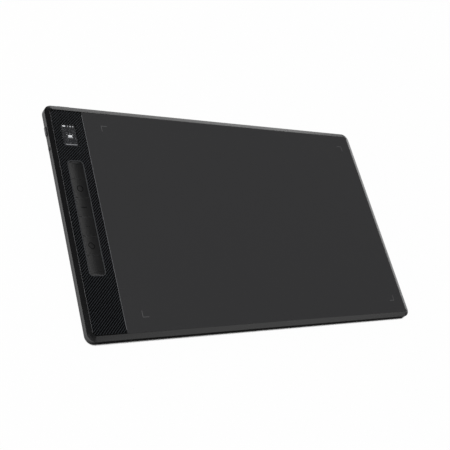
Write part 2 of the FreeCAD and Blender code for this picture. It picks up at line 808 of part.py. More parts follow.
def make_key(number, y):
    """One pressed key: a cap with a hollow across it, hollow below, on a flange that stops it."""
    body = new_body(f"key_{number}", "control_x", y)
    ends = {1: (False, False, True, True), KEYS: (True, True, False, False)}
    cap = sketch_at(body, "XY", z="flange_bottom")
    if number in ends:
        draw_rectangle(cap, "key_width", "key_length", "key_row_corner - key_side_gap", ends[number])
    else:
        draw_rectangle(cap, "key_width", "key_length")
    pad(body, cap, "key_top - flange_bottom")
    flange = sketch_at(body, "XY", z="flange_bottom")
    draw_rectangle(flange, inset("key_width", "-flange_reach"), "key_length")
    pad(body, flange, "flange_thickness")
    trough = sketch_at(body, "XZ", z="key_top - key_sag + trough_radius")
    draw_circles(trough, "trough_radius")
    cut(body, trough, "2 * key_length", both_ways=True)
    across = edges_where(
        body,
        lambda box: box.ZMin > mm("key_top - key_sag") - CLOSE
        and min(abs(box.YMin), abs(box.YMax)) > mm("key_length / 2") - CLOSE
        and box.XLength > mm("key_width / 2"),
    )
    bevel_edges(body, across, "key_edge")
    hollow = sketch_at(body, "XY", z="flange_bottom")
    draw_rectangle(hollow, inset("key_width", "key_wall"), inset("key_length", "key_wall"))
    draw_circles(hollow, "stem_radius")
    cut(body, hollow, "key_hollow", flip=True)
    stem = sketch_at(body, "XY", z="key_bottom")
    draw_circles(stem, "stem_radius")
    pad(body, stem, "stem_height")
    return body


def make_key_mat():
    """The silicone mat: a sheet with one hollow dome under each key."""
    body = new_body("key_mat", "control_x")
    base = sketch_at(body, "XY", z="key_board_top")
    draw_rectangle(base, inset("key_row_width", "-mat_overlap"), "key_row_length", "mat_overlap")
    pad(body, base, "mat_base")
    first = f"{(KEYS - 1) / 2} * key_pitch"
    profile = sketch_at(body, "XZ", y=first, z="mat_top")
    draw_polygon(
        profile, [("0", "0"), ("dome_base", "0"), ("dome_crown", "dome_height"), ("0", "dome_height")]
    )
    dome = body.newObject("PartDesign::Revolution", "Dome")
    dome.Profile = profile
    dome.ReferenceAxis = (profile, ["V_Axis"])
    dome.Angle = 360
    doc.recompute()
    repeat(body, dome, (base, ["V_Axis"]), f"{KEYS - 1} * key_pitch", KEYS).Reversed = True
    doc.recompute()


def make_key_board():
    """The circuit board under the mat, drilled for its screws."""
    body = new_body("key_board")
    outline = sketch_at(body, "XY", x="control_x", z="key_board_bottom")
    draw_rectangle(outline, "key_board_width", "key_board_length", "mat_overlap")
    pad(body, outline, "board_thickness")
    holes = sketch_at(body, "XY", z="key_board_top")
    draw_circles(holes, "board_screw_radius + screw_gap", key_screw_places())
    cut(body, holes, "board_thickness")


def make_display():
    """The window, the sealing frame under it, the display and the tray that holds it up."""
    window = new_body("display_window", "control_x", "display_y")
    outline = sketch_at(window, "XY", z="panel_seat")
    draw_rectangle(outline, "window_width", "window_depth", "window_corner")
    pad(window, outline, "panel_thickness")

    gasket = new_body("display_gasket", "control_x", "module_y")
    outline = sketch_at(gasket, "XY", z="module_top")
    draw_rectangle(outline, "module_width", "module_depth")
    pad(gasket, outline, "gasket_thickness")
    opening = sketch_at(gasket, "XY", y="display_y - module_y", z="module_top")
    draw_rectangle(
        opening, inset("window_width", "window_ledge"), inset("window_depth", "window_ledge")
    )
    cut(gasket, opening, "gasket_thickness", flip=True)

    module = new_body("display_module", "control_x", "module_y")
    outline = sketch_at(module, "XY", z="module_bottom")
    draw_rectangle(outline, "module_width", "module_depth")
    pad(module, outline, "module_thickness")
    glass = sketch_at(module, "XY", y="display_y - module_y", z="module_top")
    draw_rectangle(glass, "display_width", "display_depth")
    cut(module, glass, "gasket_thickness")

    holder = new_body("display_holder", "control_x", "module_y")
    outline = sketch_at(holder, "XY", z="holder_bottom")
    draw_rectangle(outline, "holder_width", "holder_depth", "holder_wall")
    pad(holder, outline, "ceiling - holder_bottom")
    ears = sketch_at(holder, "XY", y="display_y - module_y", z="holder_bottom")
    draw_rectangle(ears, "2 * ear_x + holder_ear", "holder_ear", "holder_wall")
    pad(holder, ears, "holder_wall")
    holes = sketch_at(holder, "XY", z="module_bottom")
    draw_circles(
        holes,
        "board_screw_radius + screw_gap",
        [("-ear_x", "display_y - module_y"), ("ear_x", "display_y - module_y")],
    )
    cut(holder, holes, "holder_wall")
    well = sketch_at(holder, "XY", z="ceiling")
    draw_rectangle(
        well, inset("module_width", "-module_gap"), inset("module_depth", "-module_gap")
    )
    cut(holder, well, "ceiling - module_bottom")
    ribbon_way = sketch_at(
        holder, "XZ", "ribbon_shift", "-holder_depth / 2", "(module_bottom + ceiling) / 2"
    )
    draw_rectangle(
        ribbon_way, inset("ribbon_width", "-module_gap"), "ceiling - module_bottom"
    )
    cut(holder, ribbon_way, "holder_wall")


def make_ribbon(label, plane, place, path, width):
    """A thin flexible ribbon that follows a path of straight lines and rounded bends."""
    line = doc.addObject("Sketcher::SketchObject", f"{label}_path")
    if plane == "YZ":
        line.Placement.Rotation = FreeCAD.Rotation(FreeCAD.Vector(1, 1, 1), 120)
        bind(line, "Placement.Base.x", place)
    else:
        line.Placement.Rotation = FreeCAD.Rotation(FreeCAD.Vector(1, 0, 0), 90)
        bind(line, "Placement.Base.y", place)
    points = [FreeCAD.Vector(mm(x), mm(y), 0) for x, y in path]
    parts = [line.addGeometry(Part.LineSegment(*ends)) for ends in zip(points, points[1:])]
    for before, after in zip(parts, parts[1:]):
        line.addConstraint(Sketcher.Constraint("Coincident", before, 2, after, 1))
    for part, start in zip(parts, path):
        fix_point(line, part, 1, *start)
    fix_point(line, parts[-1], 2, *path[-1])
    outline = doc.addObject("Part::Offset2D", f"{label}_outline")
    outline.Source = line
    bind(outline, "Value", "ribbon_thickness / 2")
    outline.Fill = True
    ribbon = doc.addObject("Part::Extrusion", label)
    ribbon.Label = label
    ribbon.Base = outline
    ribbon.DirMode = "Normal"
    ribbon.Symmetric = True
    ribbon.Solid = True
    bind(ribbon, "LengthFwd", width)
    doc.recompute()
    pieces.append(ribbon)


def make_ribbons():
    """The three ribbons that join the display, the key board and the sensor to the main board."""
    half = "ribbon_thickness / 2"
    on_board = f"board_top + {half}"
    module_front = f"module_y - module_depth / 2 - {half}"
    bend = "module_y - holder_depth / 2 - ribbon_drop"
    display_z = "module_bottom + module_thickness / 3"
    make_ribbon(
        "display_flex",
        "YZ",
        "control_x + ribbon_shift",
        [
            (module_front, display_z),
            (bend, display_z),
            (bend, on_board),
            (f"{bend} + ribbon_land", on_board),
        ],
        "ribbon_width",
    )
    key_end = "key_board_length / 2"
    on_keys = f"key_board_top + {half}"
    make_ribbon(
        "key_flex",
        "YZ",
        "control_x - ribbon_shift",
        [
            (f"{key_end} - key_ribbon_land", on_keys),
            (f"{key_end} + {half}", on_keys),
            (f"board_front + {half}", on_board),
            ("board_front + ribbon_land", on_board),
        ],
        "ribbon_width",
    )
    under_sensor = f"shield_top - {half}"
    make_ribbon(
        "sensor_flex",
        "XZ",
        "sensor_ribbon_y",
        [
            (f"sensor_left + land_width - {half}", under_sensor),
            ("sensor_left - ribbon_drop", under_sensor),
            ("board_right + land_width", on_board),
            ("board_right - ribbon_land / 2", on_board),
        ],
        "sensor_ribbon_width",
    )


def block(label, x, y, z, width, depth, height, corner=None, top_edge=None):
    """A flat block that stands at z, with round upright corners and bevelled upper edges on request."""
    body = new_body(label, x, y)
    outline = sketch_at(body, "XY", z=z)
    draw_rectangle(outline, width, depth, corner)
    pad(body, outline, height)
    if top_edge:
        bevel_edges(body, level_edges(body, f"{z} + {height}"), top_edge)
    return body


def make_main_board():
    """The main board, notched for the case screw in its corner and for the switch at its edge."""
    body = new_body("main_board")
    outline = sketch_at(body, "XY", "panel_middle", "(board_front + board_back) / 2", "board_bottom")
    draw_rectangle(outline, "main_board_width", "board_back - board_front", "board_corner")
    pad(body, outline, "board_thickness")
    clear = "cover_boss_radius + board_clearance"
    screw_x = "(left_side + case_screw_inset)"
    screw_y = "(back_side - case_screw_inset)"
    corner = sketch_at(body, "XY", "board_left", "board_back", "board_top")
    draw_rectangle(
        corner,
        f"2 * ({screw_x} + {clear} - board_left)",
        f"2 * (board_back - {screw_y} + {clear})",
        "board_corner",
    )
    cut(body, corner, "board_thickness")
    notch = sketch_at(body, "XY", "board_left", "button_y", "board_top")
    draw_rectangle(
        notch,
        "2 * (switch_depth - switch_overhang + touch_gap)",
        inset("switch_length", "-touch_gap"),
    )
    cut(body, notch, "board_thickness")
    holes = sketch_at(body, "XY", z="board_top")
    draw_circles(holes, "board_screw_radius + screw_gap", main_screw_places())
    cut(body, holes, "board_thickness")


def make_board_parts():
    """What is soldered to the main board: a shield can, an aerial, the status light and a plug."""
    can = block(
        "processor_shield", "can_x", "can_y", "board_top", "can_size", "can_size", "can_height",
        "board_corner", "can_wall",
    )
    inside = sketch_at(can, "XY", z="board_top")
    draw_rectangle(inside, inset("can_size", "can_wall"), inset("can_size", "can_wall"))
    cut(can, inside, "can_height - can_wall", flip=True)
    block(
        "radio_antenna", "aerial_x", "aerial_y", "board_top", "aerial_length", "aerial_width",
        "aerial_height",
    )
    block("status_led", "led_x", "light_y", "board_top", "led_width", "led_length", "led_height")
    block("battery_plug", "plug_x", "plug_y", "board_top", "plug_width", "plug_depth", "plug_height")


def make_battery():
    """The flat cell, the tape that sticks it down, and its two leads."""
    block(
        "battery_cell", "battery_x", "battery_y", "battery_bottom", "battery_width", "battery_depth",
        "battery_thickness", "battery_corner",
    )
    block(
        "battery_tape", "battery_x", "battery_y", "floor_top",
        inset("battery_width", "battery_inset"), inset("battery_depth", "battery_inset"),
        "tape_thickness",
    )
    leads = new_body("battery_leads")
    start = "(battery_x - battery_width / 2)"
    ends = sketch_at(leads, "YZ", start, "plug_y", "board_top + plug_height / 2")
    draw_circles(ends, "lead_radius", [("-lead_pitch / 2", "0"), ("lead_pitch / 2", "0")])
    pad(leads, ends, f"{start} - plug_x - plug_width / 2", flip=True)


def make_sensor():
    """The pen sensor, the shield sheet behind it and the slotted plate that keeps them flat."""
    block("sensor_board", "active_x", "active_y", "shield_top", "sensor_width", "sensor_depth",
          "sensor_thickness", "board_corner")
    plate_x = "active_x + land_width / 2"
    plate_width = "sensor_width - land_width"
    block("shield_sheet", plate_x, "active_y", "stiffener_top", plate_width, "sensor_depth",
          "shield_thickness")
    plate = block("stiffener_plate", plate_x, "active_y", "rib_top", plate_width, "sensor_depth",
                  "stiffener_thickness", "board_corner")
    column = f"(({plate_width}) / {SLOTS_ACROSS})"
    row_step = f"(sensor_depth / {SLOTS_ALONG})"
    for row in range(SLOTS_ALONG):
        slot = sketch_at(
            plate,
            "XY",
            f"-{column} * {(SLOTS_ACROSS - 1) / 2}",
            f"{row_step} * {row - (SLOTS_ALONG - 1) / 2}",
            "stiffener_top",
        )
        draw_rectangle(slot, "slot_length", "slot_width")
        opening = cut(plate, slot, "stiffener_thickness")
        repeat(plate, opening, (slot, ["H_Axis"]), f"{column} * {SLOTS_ACROSS - 1}", SLOTS_ACROSS)


def make_charging_port():
    """The charging socket on the main board and the moulded surround in the back wall."""
    socket = new_body("usb_c_socket", "port_x")
    mouth_y = "back_side - usb_sunk"
    shell = sketch_at(socket, "XZ", y=mouth_y, z="port_z")
    draw_obround(shell, "usb_width", "usb_height")
    pad(socket, shell, "usb_depth")
    mouth = sketch_at(socket, "XZ", y=mouth_y, z="port_z")
    draw_obround(mouth, inset("usb_width", "usb_shell"), inset("usb_height", "usb_shell"))
    cut(socket, mouth, "usb_mouth_depth", flip=True)
    tongue = sketch_at(socket, "XZ", y=f"{mouth_y} - usb_mouth_depth", z="port_z")
    draw_rectangle(tongue, "usb_tongue_width", "usb_tongue_height")
    pad(socket, tongue, "usb_tongue_depth", flip=True)

    surround = new_body("port_surround", "port_x")
    outside = sketch_at(surround, "XZ", y="back_side", z="port_z")
    draw_rectangle(outside, "surround_length", "surround_height", "surround_corner")
    pad(surround, outside, "surround_proud", flip=True)
    outer_edges = edges_where(
        surround, lambda box: box.YMin > mm("back_side + surround_proud") - CLOSE
    )
    bevel_edges(surround, outer_edges, "surround_flange")
    neck = sketch_at(surround, "XZ", y="back_side", z="port_z")
    draw_rectangle(neck, "surround_body", inset("surround_height", "surround_flange"))
    pad(surround, neck, "wall + surround_gap")
    collar = sketch_at(surround, "XZ", y="back_side - wall - surround_gap", z="port_z")
    draw_rectangle(collar, "surround_length", "surround_height", "surround_corner")
    pad(surround, collar, "surround_grip")
    opening = sketch_at(surround, "XZ", y="back_side", z="port_z")
    draw_obround(opening, "port_width", "port_height")
    cut(surround, opening, "4 * wall", both_ways=True)


def wall_plug(body, y, length, proud):
    """A long face that shows through the left wall, with a wider flange behind the wall."""
    face = sketch_at(body, "YZ", f"left_side - {proud}", y, "button_z")
    draw_rectangle(face, length, "button_height", "button_corner")
    pad(body, face, f"{proud} + wall + touch_gap")
    edges = edges_where(body, lambda box: box.XMax < mm(f"left_side - {proud}") + CLOSE)
    bevel_edges(body, edges, "button_edge")
    flange = sketch_at(body, "YZ", "flange_x", y, "button_z")
    draw_rectangle(flange, inset(length, "-(button_gap + button_flange)"), "button_height")
    pad(body, flange, "button_flange")


def make_power_button():
    """The power button in the left wall, the switch it presses and the status light beside it."""
    button = new_body("power_button")
    wall_plug(button, "button_y", "button_length", "button_proud")
    post = sketch_at(button, "YZ", "flange_x + button_flange", "button_y", "board_middle")
    draw_rectangle(post, "post_width", "post_height")
    pad(button, post, "post_end - flange_x - button_flange")

    switch = new_body("power_switch")
    case = sketch_at(switch, "YZ", "switch_left", "button_y", "board_middle")
    draw_rectangle(case, "switch_length", "switch_height")
    pad(switch, case, "switch_depth")
    bore = sketch_at(switch, "YZ", "switch_left", "button_y", "board_middle")
    draw_rectangle(
        bore, inset("plunger_length", "-plunger_gap"), inset("plunger_height", "-plunger_gap")
    )
    cut(switch, bore, "plunger_in + button_travel + touch_gap", flip=True)
    plunger = new_body("switch_plunger")
    tip = sketch_at(plunger, "YZ", "switch_left - plunger_out", "button_y", "board_middle")
    draw_rectangle(tip, "plunger_length", "plunger_height")
    pad(plunger, tip, "plunger_out + plunger_in")

    light = new_body("status_light")
    wall_plug(light, "light_y", "light_length", "light_proud")
    guide = sketch_at(light, "YZ", "flange_x + button_flange", "light_y", "button_z")
    draw_rectangle(guide, "light_length", "button_height")
    pad(light, guide, "board_left - touch_gap - flange_x - button_flange")


def add_screws(body, places, seat, radius, head_radius, head_height, length, downwards=False):
    """A group of equal screws with their heads' undersides at one height."""
    heads = sketch_at(body, "XY", z=seat)
    draw_circles(heads, head_radius, places)
    pad(body, heads, head_height, flip=not downwards)
    shanks = sketch_at(body, "XY", z=seat)
    draw_circles(shanks, radius, places)
    pad(body, shanks, length, flip=downwards)


def make_screws():
    """The case screws, and the smaller ones that hold the boards and the display."""
    body = new_body("case_screws")
    add_screws(body, case_screw_places(), "foot_height + case_head_depth", "case_screw_radius",
               "case_head_radius", "case_head_height", "case_screw_length")
    small = ("board_screw_radius", "board_head_radius", "board_head_height", "board_screw_length")
    body = new_body("board_screws")
    add_screws(body, key_screw_places(), "key_board_bottom", *small)
    add_screws(body, holder_screw_places(), "holder_bottom", *small)
    add_screws(body, main_screw_places(), "board_top", *small, downwards=True)


make_top_case()
make_back_cover()
make_feet()
make_drawing_surface()
make_control_panel()
make_key_bezel()
for number, key_y in enumerate(key_places(), start=1):
    make_key(number, key_y)
make_key_mat()
make_key_board()
make_display()
make_main_board()
make_board_parts()
make_battery()
make_sensor()
make_ribbons()
make_charging_port()
make_power_button()
make_screws()
doc.recompute()

for thing in doc.Objects:
    if "Invalid" in thing.State or "Error" in thing.State:
        raise RuntimeError(f"{thing.Name} did not compute")
os.makedirs("parts", exist_ok=True)
for piece in pieces:
    if piece.Shape.isNull() or not piece.Shape.isValid():
        raise RuntimeError(f"{piece.Label} has no valid shape")
    piece.Shape.exportStep(f"parts/{piece.Label}.step")
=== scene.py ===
import math

import bmesh
import bpy
from mathutils import Matrix, Vector


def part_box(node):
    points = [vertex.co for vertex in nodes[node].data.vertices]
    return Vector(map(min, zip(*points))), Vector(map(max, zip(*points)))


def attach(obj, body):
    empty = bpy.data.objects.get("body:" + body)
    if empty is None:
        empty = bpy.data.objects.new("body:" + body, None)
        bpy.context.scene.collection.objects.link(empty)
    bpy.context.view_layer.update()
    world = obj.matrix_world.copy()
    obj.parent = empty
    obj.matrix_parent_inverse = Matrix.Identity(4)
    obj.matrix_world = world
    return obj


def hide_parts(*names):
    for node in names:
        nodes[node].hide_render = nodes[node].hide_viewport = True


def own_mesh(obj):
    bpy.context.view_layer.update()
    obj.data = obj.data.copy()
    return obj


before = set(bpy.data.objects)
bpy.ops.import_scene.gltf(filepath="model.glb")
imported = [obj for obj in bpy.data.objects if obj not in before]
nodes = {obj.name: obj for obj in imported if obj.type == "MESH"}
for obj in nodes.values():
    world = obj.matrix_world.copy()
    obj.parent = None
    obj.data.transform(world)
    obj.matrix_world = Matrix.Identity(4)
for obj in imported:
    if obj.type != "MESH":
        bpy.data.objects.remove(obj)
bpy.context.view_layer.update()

# The view of the photograph. The camera stands at the left of the front edge, well above the desk,
# and leans to its side. Its pose and focal length were fitted to the outline, the bevels and the keys.
MM = 0.001
camera_data = bpy.data.cameras.new("camera")
camera_data.sensor_width = 36.0
camera_data.lens = 62.97
camera_data.clip_start = 0.01
camera_data.shift_x = -0.0008
camera_data.shift_y = 0.0007
camera = bpy.data.objects.new("camera", camera_data)
stand = Vector((-520.4, -324.5, 646.6)) * MM
rightwards = Vector((0.8211, -0.2456, 0.5152))
downwards = Vector((0.0071, -0.8982, -0.4395))
forwards = Vector((0.5707, 0.3646, -0.7358))
turned = Matrix((rightwards, -downwards, -forwards)).transposed()
camera.matrix_world = Matrix.Translation(stand) @ turned.to_4x4()
bpy.context.scene.collection.objects.link(camera)
bpy.context.scene.camera = camera
bpy.context.scene.view_settings.view_transform = "Standard"


# The desk is a wide plain white card. It looks white to the camera, and a little darker where gloss and
# glass mirror it. A contact shadow is painted into its colour and glow as if cast from the back left,
# where the strongest lamp stands, so it is deep in front of the tablet and hardly there at its left.
def colour(code):
    """An sRGB hex colour as linear red, green, blue and alpha."""
    parts = [int(code[k : k + 2], 16) / 255 for k in (1, 3, 5)]
    return tuple(c / 12.92 if c <= 0.04045 else ((c + 0.055) / 1.055) ** 2.4 for c in parts) + (1.0,)


def node(tree, kind, inputs=(), **settings):
    """A new node with its settings, and its inputs set or linked by name or number."""
    made = tree.nodes.new(kind)
    for name, value in settings.items():
        setattr(made, name, value)
    for name, value in dict(inputs).items():
        if isinstance(value, bpy.types.NodeSocket):
            tree.links.new(value, made.inputs[name])
        else:
            made.inputs[name].default_value = value
    return made


def new_material(name):
    """An empty node material and its tree."""
    material = bpy.data.materials.new(name)
    material.use_nodes = True
    material.node_tree.nodes.clear()
    return material, material.node_tree


def put(mesh, name):
    """An object for a finished mesh, linked to the scene."""
    made = bpy.data.objects.new(name, mesh)
    bpy.context.scene.collection.objects.link(made)
    return made


DESK_HALF = 2.5
desk_mesh = bpy.data.meshes.new("desk")
desk_mesh.from_pydata(
    [(x * DESK_HALF, y * DESK_HALF, 0.0) for x, y in ((-1, -1), (1, -1), (1, 1), (-1, 1))],
    [],
    [(0, 1, 2, 3)],
)
desk = put(desk_mesh, "desk")

# Each painted shade is how far it reaches, and how open the desk is where the shade is full and where it
# ends.
MIRRORED_SHADE = (14 * MM, 0.68, 0.86)
SEEN_SHADE = (3 * MM, 0.50, 0.70)
DEEPEST_SHADE = 0.02
MIRRORED_WHITE, SEEN_WHITE = 0.68, 0.98
desk_white, tree = new_material("desk_white_card")
rays = node(tree, "ShaderNodeLightPath")
towards_light = Vector((-0.8, 0.8, 1.0)).normalized()
lean = node(tree, "ShaderNodeCombineXYZ", dict(enumerate(towards_light)))
shades = []
for reach, full, gone in (MIRRORED_SHADE, SEEN_SHADE):
    near = node(
        tree, "ShaderNodeAmbientOcclusion", {"Distance": reach, "Normal": lean.outputs[0]}, samples=16
    )
    shades.append(
        node(
            tree, "ShaderNodeMapRange",
            {
                "Value": near.outputs["AO"], "From Min": full, "From Max": gone,
                "To Min": DEEPEST_SHADE, "To Max": 1.0,
            },
            interpolation_type="SMOOTHSTEP",
        )
    )
shade = node(
    tree, "ShaderNodeMix",
    {"Factor": rays.outputs["Is Camera Ray"], "A": shades[0].outputs[0], "B": shades[1].outputs[0]},
)
tint = node(
    tree, "ShaderNodeVectorMath", {"Vector": colour("#e8e8e8")[:3], "Scale": shade.outputs[0]},
    operation="SCALE",
)
card = node(tree, "ShaderNodeBsdfDiffuse", {"Color": tint.outputs[0]})
glow = node(tree, "ShaderNodeEmission", {"Color": (1.0, 1.0, 1.0, 1.0), "Strength": shade.outputs[0]})
mirrored = node(
    tree, "ShaderNodeMath", {0: rays.outputs["Is Glossy Ray"], 1: rays.outputs["Is Transmission Ray"]},
    operation="ADD",
)
seen = node(
    tree, "ShaderNodeMath", {0: rays.outputs["Is Camera Ray"], 1: SEEN_WHITE}, operation="MULTIPLY"
)
white = node(
    tree, "ShaderNodeMath", {0: mirrored.outputs[0], 1: MIRRORED_WHITE, 2: seen.outputs[0]},
    operation="MULTIPLY_ADD",
)
blend = node(tree, "ShaderNodeMixShader", {0: white.outputs[0], 1: card.outputs[0], 2: glow.outputs[0]})
node(tree, "ShaderNodeOutputMaterial", {"Surface": blend.outputs[0]})
desk.data.materials.append(desk_white)


# Low soft boxes stand behind, to the right and to the left, where the bevels and walls mirror them.
# Two more stand high at the right, and a large one above the camera gives the faces their even
# light. The room is white at desk height and dim overhead.
LAMP_AWAY = 2.0


def soft_box(name, azimuth, elevation, width, height, strength):
    """A soft box that faces the tablet. Its azimuth is from +X, and its strength is its radiance."""
    lamp = bpy.data.lights.new(name, "AREA")
    lamp.shape = "RECTANGLE"
    lamp.size = width
    lamp.size_y = height
    lamp.energy = strength * width * height * math.pi
    made = bpy.data.objects.new(name, lamp)
    a, e = math.radians(azimuth), math.radians(elevation)
    away = Vector((math.cos(e) * math.cos(a), math.cos(e) * math.sin(a), math.sin(e)))
    made.location = away * LAMP_AWAY
    made.rotation_euler = away.to_track_quat("Z", "Y").to_euler()
    bpy.context.scene.collection.objects.link(made)


soft_box("light_right", 18, 8, 1.4, 0.5, 1.9)
soft_box("light_back", 66, 18, 1.5, 0.5, 2.7)
soft_box("light_right_high", -24, 51, 1.8, 1.2, 1.08)
soft_box("light_back_high", 35, 40, 1.2, 0.7, 1.1)
soft_box("light_left", 150, 20, 1.6, 0.8, 4.5)
soft_box("light_front", 212, 55, 1.6, 1.4, 2.1)

WHITE_UP_TO, DIM_FROM = math.radians(7), math.radians(22)
OVERHEAD = 0.06
room = bpy.data.worlds.new("room")
room.use_nodes = True
tree = room.node_tree
way = node(
    tree, "ShaderNodeSeparateXYZ", {"Vector": node(tree, "ShaderNodeTexCoord").outputs["Generated"]}
)
fade = node(
    tree, "ShaderNodeMapRange",
    {
        "Value": way.outputs["Z"], "From Min": math.sin(WHITE_UP_TO), "From Max": math.sin(DIM_FROM),
        "To Min": 1.0, "To Max": OVERHEAD,
    },
    interpolation_type="SMOOTHSTEP",
)
tree.links.new(fade.outputs[0], tree.nodes["Background"].inputs["Strength"])
tree.nodes["Background"].inputs["Color"].default_value = (1.0, 1.0, 1.0, 1.0)
bpy.context.scene.world = room


# The two shells of the case are moulded from black ABS in a spark-eroded steel mould, which leaves
# them satin, so the bevels carry broad soft reflections. The cover is a little duller than the front
# shell. The edges in the outline are softly rounded.
CLOUD = 40 * MM
NOISE_LOW, NOISE_HIGH = 0.3, 0.7


def moulded(name, code, roughness, grain_mm, bump, mottle=0.12, gloss=0.5):
    """Moulded plastic and the like: a small grain, and a faint unevenness of shade and gloss.

    A spark-eroded grain is about 0.1 mm wide. That is too fine to show, so it is drawn coarser.
    """
    material, tree = new_material(name)
    place = node(tree, "ShaderNodeTexCoord").outputs["Object"]
    grain = node(
        tree, "ShaderNodeTexNoise", {"Vector": place, "Scale": 1 / (grain_mm * MM), "Detail": 3.0}
    )
    cloud = node(tree, "ShaderNodeTexNoise", {"Vector": place, "Scale": 1 / CLOUD, "Detail": 2.0})
    shade = node(
        tree, "ShaderNodeMapRange",
        {
            "Value": cloud.outputs["Fac"], "From Min": NOISE_LOW, "From Max": NOISE_HIGH,
            "To Min": 1.0 - mottle, "To Max": 1.0 + mottle,
        },
    )
    tint = node(
        tree, "ShaderNodeVectorMath", {"Vector": colour(code)[:3], "Scale": shade.outputs[0]},
        operation="SCALE",
    )
    dullness = node(
        tree, "ShaderNodeMapRange",
        {
            "Value": cloud.outputs["Fac"], "From Min": NOISE_LOW, "From Max": NOISE_HIGH,
            "To Min": roughness * 0.94, "To Max": roughness * 1.06,
        },
    )
    relief = node(
        tree, "ShaderNodeBump", {"Height": grain.outputs["Fac"], "Strength": bump, "Distance": 0.05 * MM}
    )
    shader = node(
        tree, "ShaderNodeBsdfPrincipled",
        {
            "Base Color": tint.outputs[0], "Roughness": dullness.outputs[0],
            "Normal": relief.outputs[0], "IOR": 1.53, "Specular IOR Level": gloss,
        },
    )
    node(tree, "ShaderNodeOutputMaterial", {"Surface": shader.outputs[0]})
    return material


EVEN_FOLD = 35


def piece_from(bm, name, material, body, slot, *stands_for, sharp=EVEN_FOLD):
    """Finish a mesh as a piece of the tablet, in the place of CAD pieces if they are named.

    Folds of more than so many degrees stay sharp. Elsewhere its normals lean towards its large
    faces, so a flat face keeps one tone up to its rounded edges.
    """
    mesh = bpy.data.meshes.new(name)
    bm.to_mesh(mesh)
    bm.free()
    mesh.polygons.foreach_set("use_smooth", [True] * len(mesh.polygons))
    mesh.set_sharp_from_angle(angle=math.radians(sharp))
    mesh.materials.append(material)
    made = put(mesh, name)
    made.modifiers.new("even_faces", "WEIGHTED_NORMAL").keep_sharp = True
    seen = made.evaluated_get(bpy.context.evaluated_depsgraph_get())
    made.data = bpy.data.meshes.new_from_object(seen)
    made.data.name = name
    made.modifiers.clear()
    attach(made, body)
    if stands_for:
        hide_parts(*stands_for)
    return made


HAIR = 0.001 * MM
FLAT, FOLDED = math.radians(1), math.radians(15)


def softened(name, radius, chosen):
    """A copy of a CAD piece with some of its folded edges rounded."""
    bm = bmesh.new()
    bm.from_mesh(nodes[name].data)
    bmesh.ops.remove_doubles(bm, verts=bm.verts, dist=HAIR)
    bmesh.ops.dissolve_limit(bm, angle_limit=FLAT, verts=bm.verts, edges=bm.edges)
    edges = [e for e in bm.edges if e.is_manifold and e.calc_face_angle() > FOLDED and chosen(e)]
    bmesh.ops.bevel(
        bm, geom=edges, offset=radius, offset_type="OFFSET", segments=3, profile=0.5, affect="EDGES",
        clamp_overlap=True,
    )
    return bm


case_low, case_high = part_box("top_case")
OUTSIDE = 0.985
CORNER_REACH = 9.5 * MM
LEVEL = 0.02 * MM


def outer_edge(edge, heights):
    """Whether an edge lies in the outside of the case at one of some heights."""
    ends = [v.co for v in edge.verts]
    out = all(
        max(abs(p.x) / case_high.x, abs(p.y) / case_high.y) > OUTSIDE
        or (abs(p.x) > case_high.x - CORNER_REACH and abs(p.y) > case_high.y - CORNER_REACH)
        for p in ends
    )
    return out and any(all(abs(p.z - z) < LEVEL for p in ends) for z in heights)


BEVEL_DROP = 1.5 * MM
BEVEL_ROUND = 0.15 * MM
case_abs = moulded("moulded_black_abs", "#0e0e0f", 0.28, 0.35, 0.25)
bm = softened("top_case", BEVEL_ROUND, lambda edge: outer_edge(edge, [case_high.z - BEVEL_DROP]))
piece_from(bm, "front_shell", case_abs, "case", "case_plastic", "top_case")

COVER_CHAMFER = 0.4 * MM
COVER_ROUND = 0.3 * MM
cover_abs = moulded("moulded_cover_abs", "#101011", 0.36, 0.45, 0.3)
cover_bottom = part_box("back_cover")[0].z
cover_edges = [cover_bottom, cover_bottom + COVER_CHAMFER]
bm = softened("back_cover", COVER_ROUND, lambda edge: outer_edge(edge, cover_edges))
piece_from(bm, "rear_shell", cover_abs, "case", "cover_plastic", "back_cover")


# Four long pads of black synthetic rubber are pressed into seats in the underside. They are moulded
# dull, with a rounded lower edge, and they carry the tablet.
def outline(x, y, width, depth, corner, rounded=(True, True, True, True), steps=8):
    """Points and outward ways round a rectangle, from its lower left corner. All in metres."""
    ring = []
    for k, (right, back) in enumerate(((-1, -1), (1, -1), (1, 1), (-1, 1))):
        radius = corner if rounded[k] else 0.0
        middle = Vector((x + right * (width / 2 - radius), y + back * (depth / 2 - radius)))
        if not radius:
            ring.append((middle, Vector((right, back))))
            continue
        for j in range(steps + 1):
            turn = math.pi + (k + j / steps) * math.pi / 2
            way = Vector((math.cos(turn), math.sin(turn)))
            ring.append((middle + way * radius, way))
    return ring


APART = 0.01 * MM


def pill(x, y, width, depth):
    """The outline of a bar with round ends or of a disc, whose ends' points stay apart."""
    return outline(x, y, width, depth, min(width, depth) / 2 - APART)


def lofted(bm, loops, band=False):
    """Join loops of points, as a band that closes on itself or as a capped solid."""
    rows = [[bm.verts.new(point) for point in loop] for loop in loops]
    for low, high in zip(rows, rows[1:] + rows[:1] if band else rows[1:]):
        for k in range(len(low)):
            j = (k + 1) % len(low)
            bm.faces.new((low[k], low[j], high[j], high[k]))
    if not band:
        bm.faces.new(rows[0][::-1])
        bm.faces.new(rows[-1])


def raised(ring, step, height):
    """The points of a ring, moved outwards by a step and up to a height."""
    return [Vector((*(point + way * step), height)) for point, way in ring]


def swept(bm, ring, profile, band=False):
    """Sweep a profile of outward steps and heights round a ring."""
    lofted(bm, [raised(ring, *place) for place in profile], band)


def edge_round(step, height, radius, steps=4):
    """The quarter circle of a rounded upper edge, from the side to the top."""
    turns = [j * math.pi / 2 / steps for j in range(steps + 1)]
    return [(step - radius + radius * math.cos(t), height - radius + radius * math.sin(t)) for t in turns]


